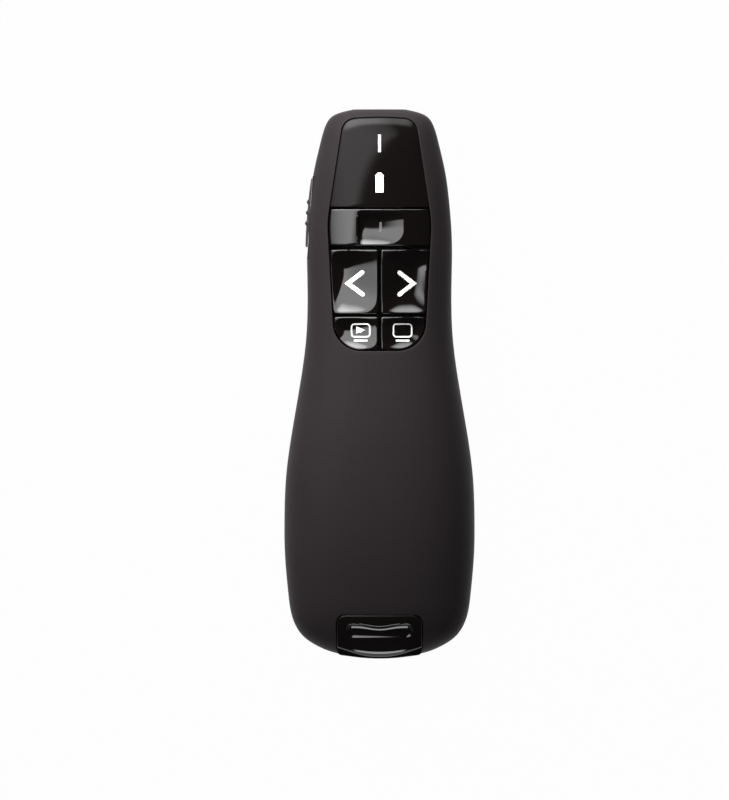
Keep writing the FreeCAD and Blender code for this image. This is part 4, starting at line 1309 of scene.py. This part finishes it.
def receiverOutline(cornerY, bulge, radius, tailRadius):
    look = receiver
    return arcCorners([
        (-look["halfWidth"], cornerY, tailRadius), (0, cornerY - bulge, radius),
        (look["halfWidth"], cornerY, tailRadius),
        (look["halfWidth"], look["frontY"], look["frontRadius"]),
        (-look["halfWidth"], look["frontY"], look["frontRadius"]),
    ], look["outlineStep"])


def receiverCap():
    # the glossy end, the ledge under its lifted edge and the slim case that reaches into the body
    look = receiver
    outline = receiverOutline(
        look["edgeY"] + look["edgeBow"], look["edgeBow"] * look["lipBulge"], look["lipRadius"],
        look["lipCorner"])
    end = capPiece(
        "receiverCap", outline, receiverHeight, look["rim"], None, look["capStep"], footZ=look["splitZ"])
    outline = receiverOutline(look["tailCornerY"], look["bulge"], look["bulgeRadius"], look["tailRadius"])
    ledge = capPiece(
        "receiverLedge", outline,
        lambda x, y: look["ledgeZ"] + (y - look["tailCornerY"]) * look["ledgeSlope"],
        look["rim"], None, look["ledgeStep"], footZ=look["splitZ"])
    half, tailY, corner = look["halfWidth"], look["frontY"] - look["caseOverlap"], look["caseTailCorner"]
    case = arcCorners([
        (-half, tailY, corner), (half, tailY, corner),
        (half, look["caseFrontY"], look["caseCorner"]), (-half, look["caseFrontY"], look["caseCorner"]),
    ], look["caseOutlineStep"])
    slim = capPiece(
        "receiverSlimCase", case, lambda x, y: np.full(len(x), look["caseTopZ"]), look["caseRim"],
        None, look["caseStep"], footZ=look["splitZ"])
    for piece, nodes in ((end, ["receiver_case_top"]), (ledge, []), (slim, [])):
        finishPiece(piece, "receiver", "gloss_black", finishes["gloss_black"], *nodes)


knobLook = {
    # the power switch's ribbed knob on the left side
    "frontY": 43.29,
    "rearY": 28.77,
    "lowZ": 10.2,
    "highZ": 14.8,
    "proud": 0.33,
    "edge": 0.3,
    "ribPlaces": (38.32, 36.07, 33.82),
    "ribProud": 0.34,
    "ribHalf": 0.55,
    "ribEnd": 0.7,
    "slideGap": 0.06,
    "thinnest": 0.10,
    "pointsAlong": 120,
    "pointsUp": 30,
}


def sideOut(y, z):
    # how far out the body's side lies at a height, on either side of the seam
    table = bodyTable(0.0)
    width = np.interp(y, table["y"], table["width"])
    rise = np.interp(y, table["y"], table["rise"])
    drop = np.interp(y, table["y"], table["drop"])
    lift = np.where(z >= bodyForm["seamZ"], (z - bodyForm["seamZ"]) / rise, (bodyForm["seamZ"] - z) / drop)
    share = np.interp(lift, sectionUp[::-1], across[::-1])
    return width * np.interp(share, across, sectionOut)


def powerKnob():
    look = knobLook
    plan = MeshPlan()
    ys = np.linspace(look["rearY"], look["frontY"], look["pointsAlong"])
    zs = np.linspace(look["lowZ"], look["highZ"], look["pointsUp"])
    y, z = np.meshgrid(ys, zs, indexing="ij")
    rib = np.zeros_like(y)
    for place in look["ribPlaces"]:
        away = np.clip(np.abs(y - place) / look["ribHalf"], 0, 1)
        ends = np.clip(np.minimum(z - look["lowZ"], look["highZ"] - z) / look["ribEnd"], 0, 1)
        rib = np.maximum(rib, look["ribProud"] * (1 - away ** 1.6) * np.sqrt(ends * (2 - ends)))
    toEdge = np.minimum(
        np.minimum(y - look["rearY"], look["frontY"] - y), np.minimum(z - look["lowZ"], look["highZ"] - z))
    inward = np.clip(1 - toEdge / look["edge"], 0, 1)
    rounding = look["edge"] * (1 - np.sqrt(1 - inward ** 2))
    flatX = np.interp(y, [track["rearY"], track["frontY"]], [track["rearX"], track["frontX"]])
    flatX = flatX - look["slideGap"]
    out = np.maximum(sideOut(y, z) + look["proud"] + rib - rounding, look["thinnest"] - flatX)
    outer = plan.add(np.column_stack([-out.ravel(), y.ravel(), z.ravel()]))
    inner = plan.add(np.column_stack([flatX.ravel(), y.ravel(), z.ravel()]))
    rows, columns = len(ys), len(zs)
    for i in range(rows - 1):
        for k in range(columns - 1):
            a, d = i * columns + k, (i + 1) * columns + k
            plan.faces.append((outer[a], outer[a + 1], outer[d + 1], outer[d]))
            plan.faces.append((inner[d], inner[d + 1], inner[a + 1], inner[a]))
    ring = [i * columns for i in range(rows)]
    ring += [(rows - 1) * columns + k for k in range(1, columns)]
    ring += [i * columns + columns - 1 for i in range(rows - 2, -1, -1)]
    ring += list(range(columns - 2, 0, -1))
    plan.band([outer[i] for i in ring], [inner[i] for i in ring])
    return finishPiece(
        plan.makeObject("powerKnob", 50), "power_switch", "moulded_black", finishes["moulded_black"],
        "power_switch_knob")


for row in frame["record"]["subparts"]:
    node = frame["nodes"][row["node"]]
    node.data.materials.clear()
    node.data.materials.append(finishes[row["material_slot"]])
print("solid nodes finished:", len(frame["nodes"]))
upperShell()
print("upper shell made")
indicatorPlate()
keyCaps()
keySigns()
print("plate, keys and signs made")
receiverCap()
powerKnob()
print("receiver and knob made")

stageLook = {
    # the floor's half width in metres and its drop in millimetres, how white floor and world show
    # to the camera, the floor's own grey, and the world's level to all other rays
    "floorHalf": 3.0, "drop": 0.02, "white": 0.985, "plain": 0.12, "worldLevel": 0.05}
lamps = {
    # tilt from upright, compass angle from +X, distance from (0, aimY, aimZ) on the object, width
    # and height, all in metres and degrees, level as seen in a mirror, and how quickly it fades
    # towards its side and end borders (large: almost even)
    "keyPanel": {
        "tilt": 46, "turn": 130, "away": 0.30, "aimY": 0.028, "aimZ": 0.015,
        "size": (0.50, 0.375), "level": 5.1, "fade": (1.1, 3.0)},
    "noseStrip": {
        "tilt": 69, "turn": 96, "away": 0.40, "aimY": 0.0, "aimZ": 0.015,
        "size": (0.66, 0.24), "level": 8.0, "fade": (1.5, 1.5)},
    "nearPanel": {
        "tilt": 62, "turn": 112, "away": 0.12, "aimY": 0.065, "aimZ": 0.015,
        "size": (0.12, 0.07), "level": 4.6, "fade": (1.5, 1.5)},
    "tailStrip": {
        "tilt": 77, "turn": -90, "away": 0.80, "aimY": 0.0, "aimZ": 0.015,
        "size": (0.32, 0.34), "level": 6.5, "fade": (3.0, 3.0)},
}
cameraLook = {
    # the middle of the picture and a pixel's size in millimetres, and the picture's height
    "lens": 1000.0, "sensor": 36.0, "centre": (-3.156, -3.366), "scale": 0.2104, "pixelsTall": 800}


def stageFloor():
    # grey to the lamps, so that it keeps the shadow, and white to the camera and in mirrors
    plan = MeshPlan()
    half, z = stageLook["floorHalf"] / mm, -stageLook["drop"]
    ids = plan.add([(-half, -half, z), (half, -half, z), (half, half, z), (-half, half, z)])
    plan.faces.append(tuple(ids))
    floor = plan.makeObject("paleFloor")
    f = Finish("paleFloor")
    ray = f.node("ShaderNodeLightPath", output="Is Camera Ray")
    mirror = f.node("ShaderNodeLightPath", output="Is Glossy Ray")
    through = f.node("ShaderNodeLightPath", output="Is Transmission Ray")
    seen = f.node("ShaderNodeMath", {"operation": "ADD", "use_clamp": True}, {0: ray + mirror, 1: through})
    plain = f.node("ShaderNodeBsdfDiffuse", inputs={"Color": (stageLook["plain"],) * 3})
    white = f.node("ShaderNodeEmission", inputs={"Color": (1, 1, 1), "Strength": 1.0})
    mixed = f.node("ShaderNodeMixShader", inputs={0: seen * stageLook["white"], 1: plain, 2: white})
    f.node("ShaderNodeOutputMaterial", inputs={"Surface": mixed})
    floor.data.materials.append(f.material)


def makeLamp(name, look):
    data = bpy.data.lights.new(name, "AREA")
    data.shape = "RECTANGLE"
    data.size, data.size_y = look["size"]
    data.energy = look["level"] * math.pi * look["size"][0] * look["size"][1]
    f = Finish(name, data)
    u = f.node("ShaderNodeSeparateXYZ", inputs={0: f.node("ShaderNodeNewGeometry", output="Parametric")})
    v = Wire(f, u.socket.node.outputs[1])

    def level(place, fade):
        # 1 in the middle of the lamp, falling to 0 at both borders
        bell = place * (1 - place) * (4 * fade)
        return f.node("ShaderNodeMath", {"operation": "MINIMUM"}, {0: bell, 1: 1.0})

    glow = level(u, look["fade"][0]) * level(v, look["fade"][1])
    shine = f.node("ShaderNodeEmission", inputs={"Color": (1, 1, 1), "Strength": glow})
    f.node("ShaderNodeOutputLight", inputs={"Surface": shine})
    lamp = bpy.data.objects.new(name, data)
    tilt, turn = math.radians(look["tilt"]), math.radians(look["turn"])
    heading = Vector((math.sin(tilt) * math.cos(turn), math.sin(tilt) * math.sin(turn), math.cos(tilt)))
    lamp.location = heading * look["away"] + Vector((0, look["aimY"], look["aimZ"]))
    lamp.rotation_euler = heading.to_track_quat("Z", "Y").to_euler()
    lamp.visible_camera = False
    bpy.context.scene.collection.objects.link(lamp)


def setWorld():
    # the same white as the floor to the camera and through glass, a dim studio to all else
    world = bpy.data.worlds.new("studio")
    f = Finish("studio", world)
    ray = f.node("ShaderNodeLightPath", output="Is Camera Ray")
    through = f.node("ShaderNodeLightPath", output="Is Transmission Ray")
    seen = f.node("ShaderNodeMath", {"operation": "MAXIMUM"}, {0: ray, 1: through})
    level = seen * (stageLook["white"] - stageLook["worldLevel"]) + stageLook["worldLevel"]
    sky = f.node("ShaderNodeBackground", inputs={"Color": (1, 1, 1), "Strength": level})
    f.node("ShaderNodeOutputWorld", inputs={"Surface": sky})
    bpy.context.scene.world = world


def setCamera():
    look = cameraLook
    data = bpy.data.cameras.new("photoCamera")
    data.lens = look["lens"]
    data.sensor_width = look["sensor"]
    data.clip_end = 10.0
    tall = look["pixelsTall"] * look["scale"] * mm
    camera = bpy.data.objects.new("photoCamera", data)
    camera.location = (
        look["centre"][0] * mm, look["centre"][1] * mm,
        bodyForm["seamZ"] * mm + tall * look["lens"] / look["sensor"])
    bpy.context.scene.collection.objects.link(camera)
    bpy.context.scene.camera = camera


stageFloor()
for name, look in lamps.items():
    makeLamp(name, look)
setWorld()
setCamera()
bpy.context.scene.view_settings.view_transform = "Standard"
print("floor, lamps and camera set")
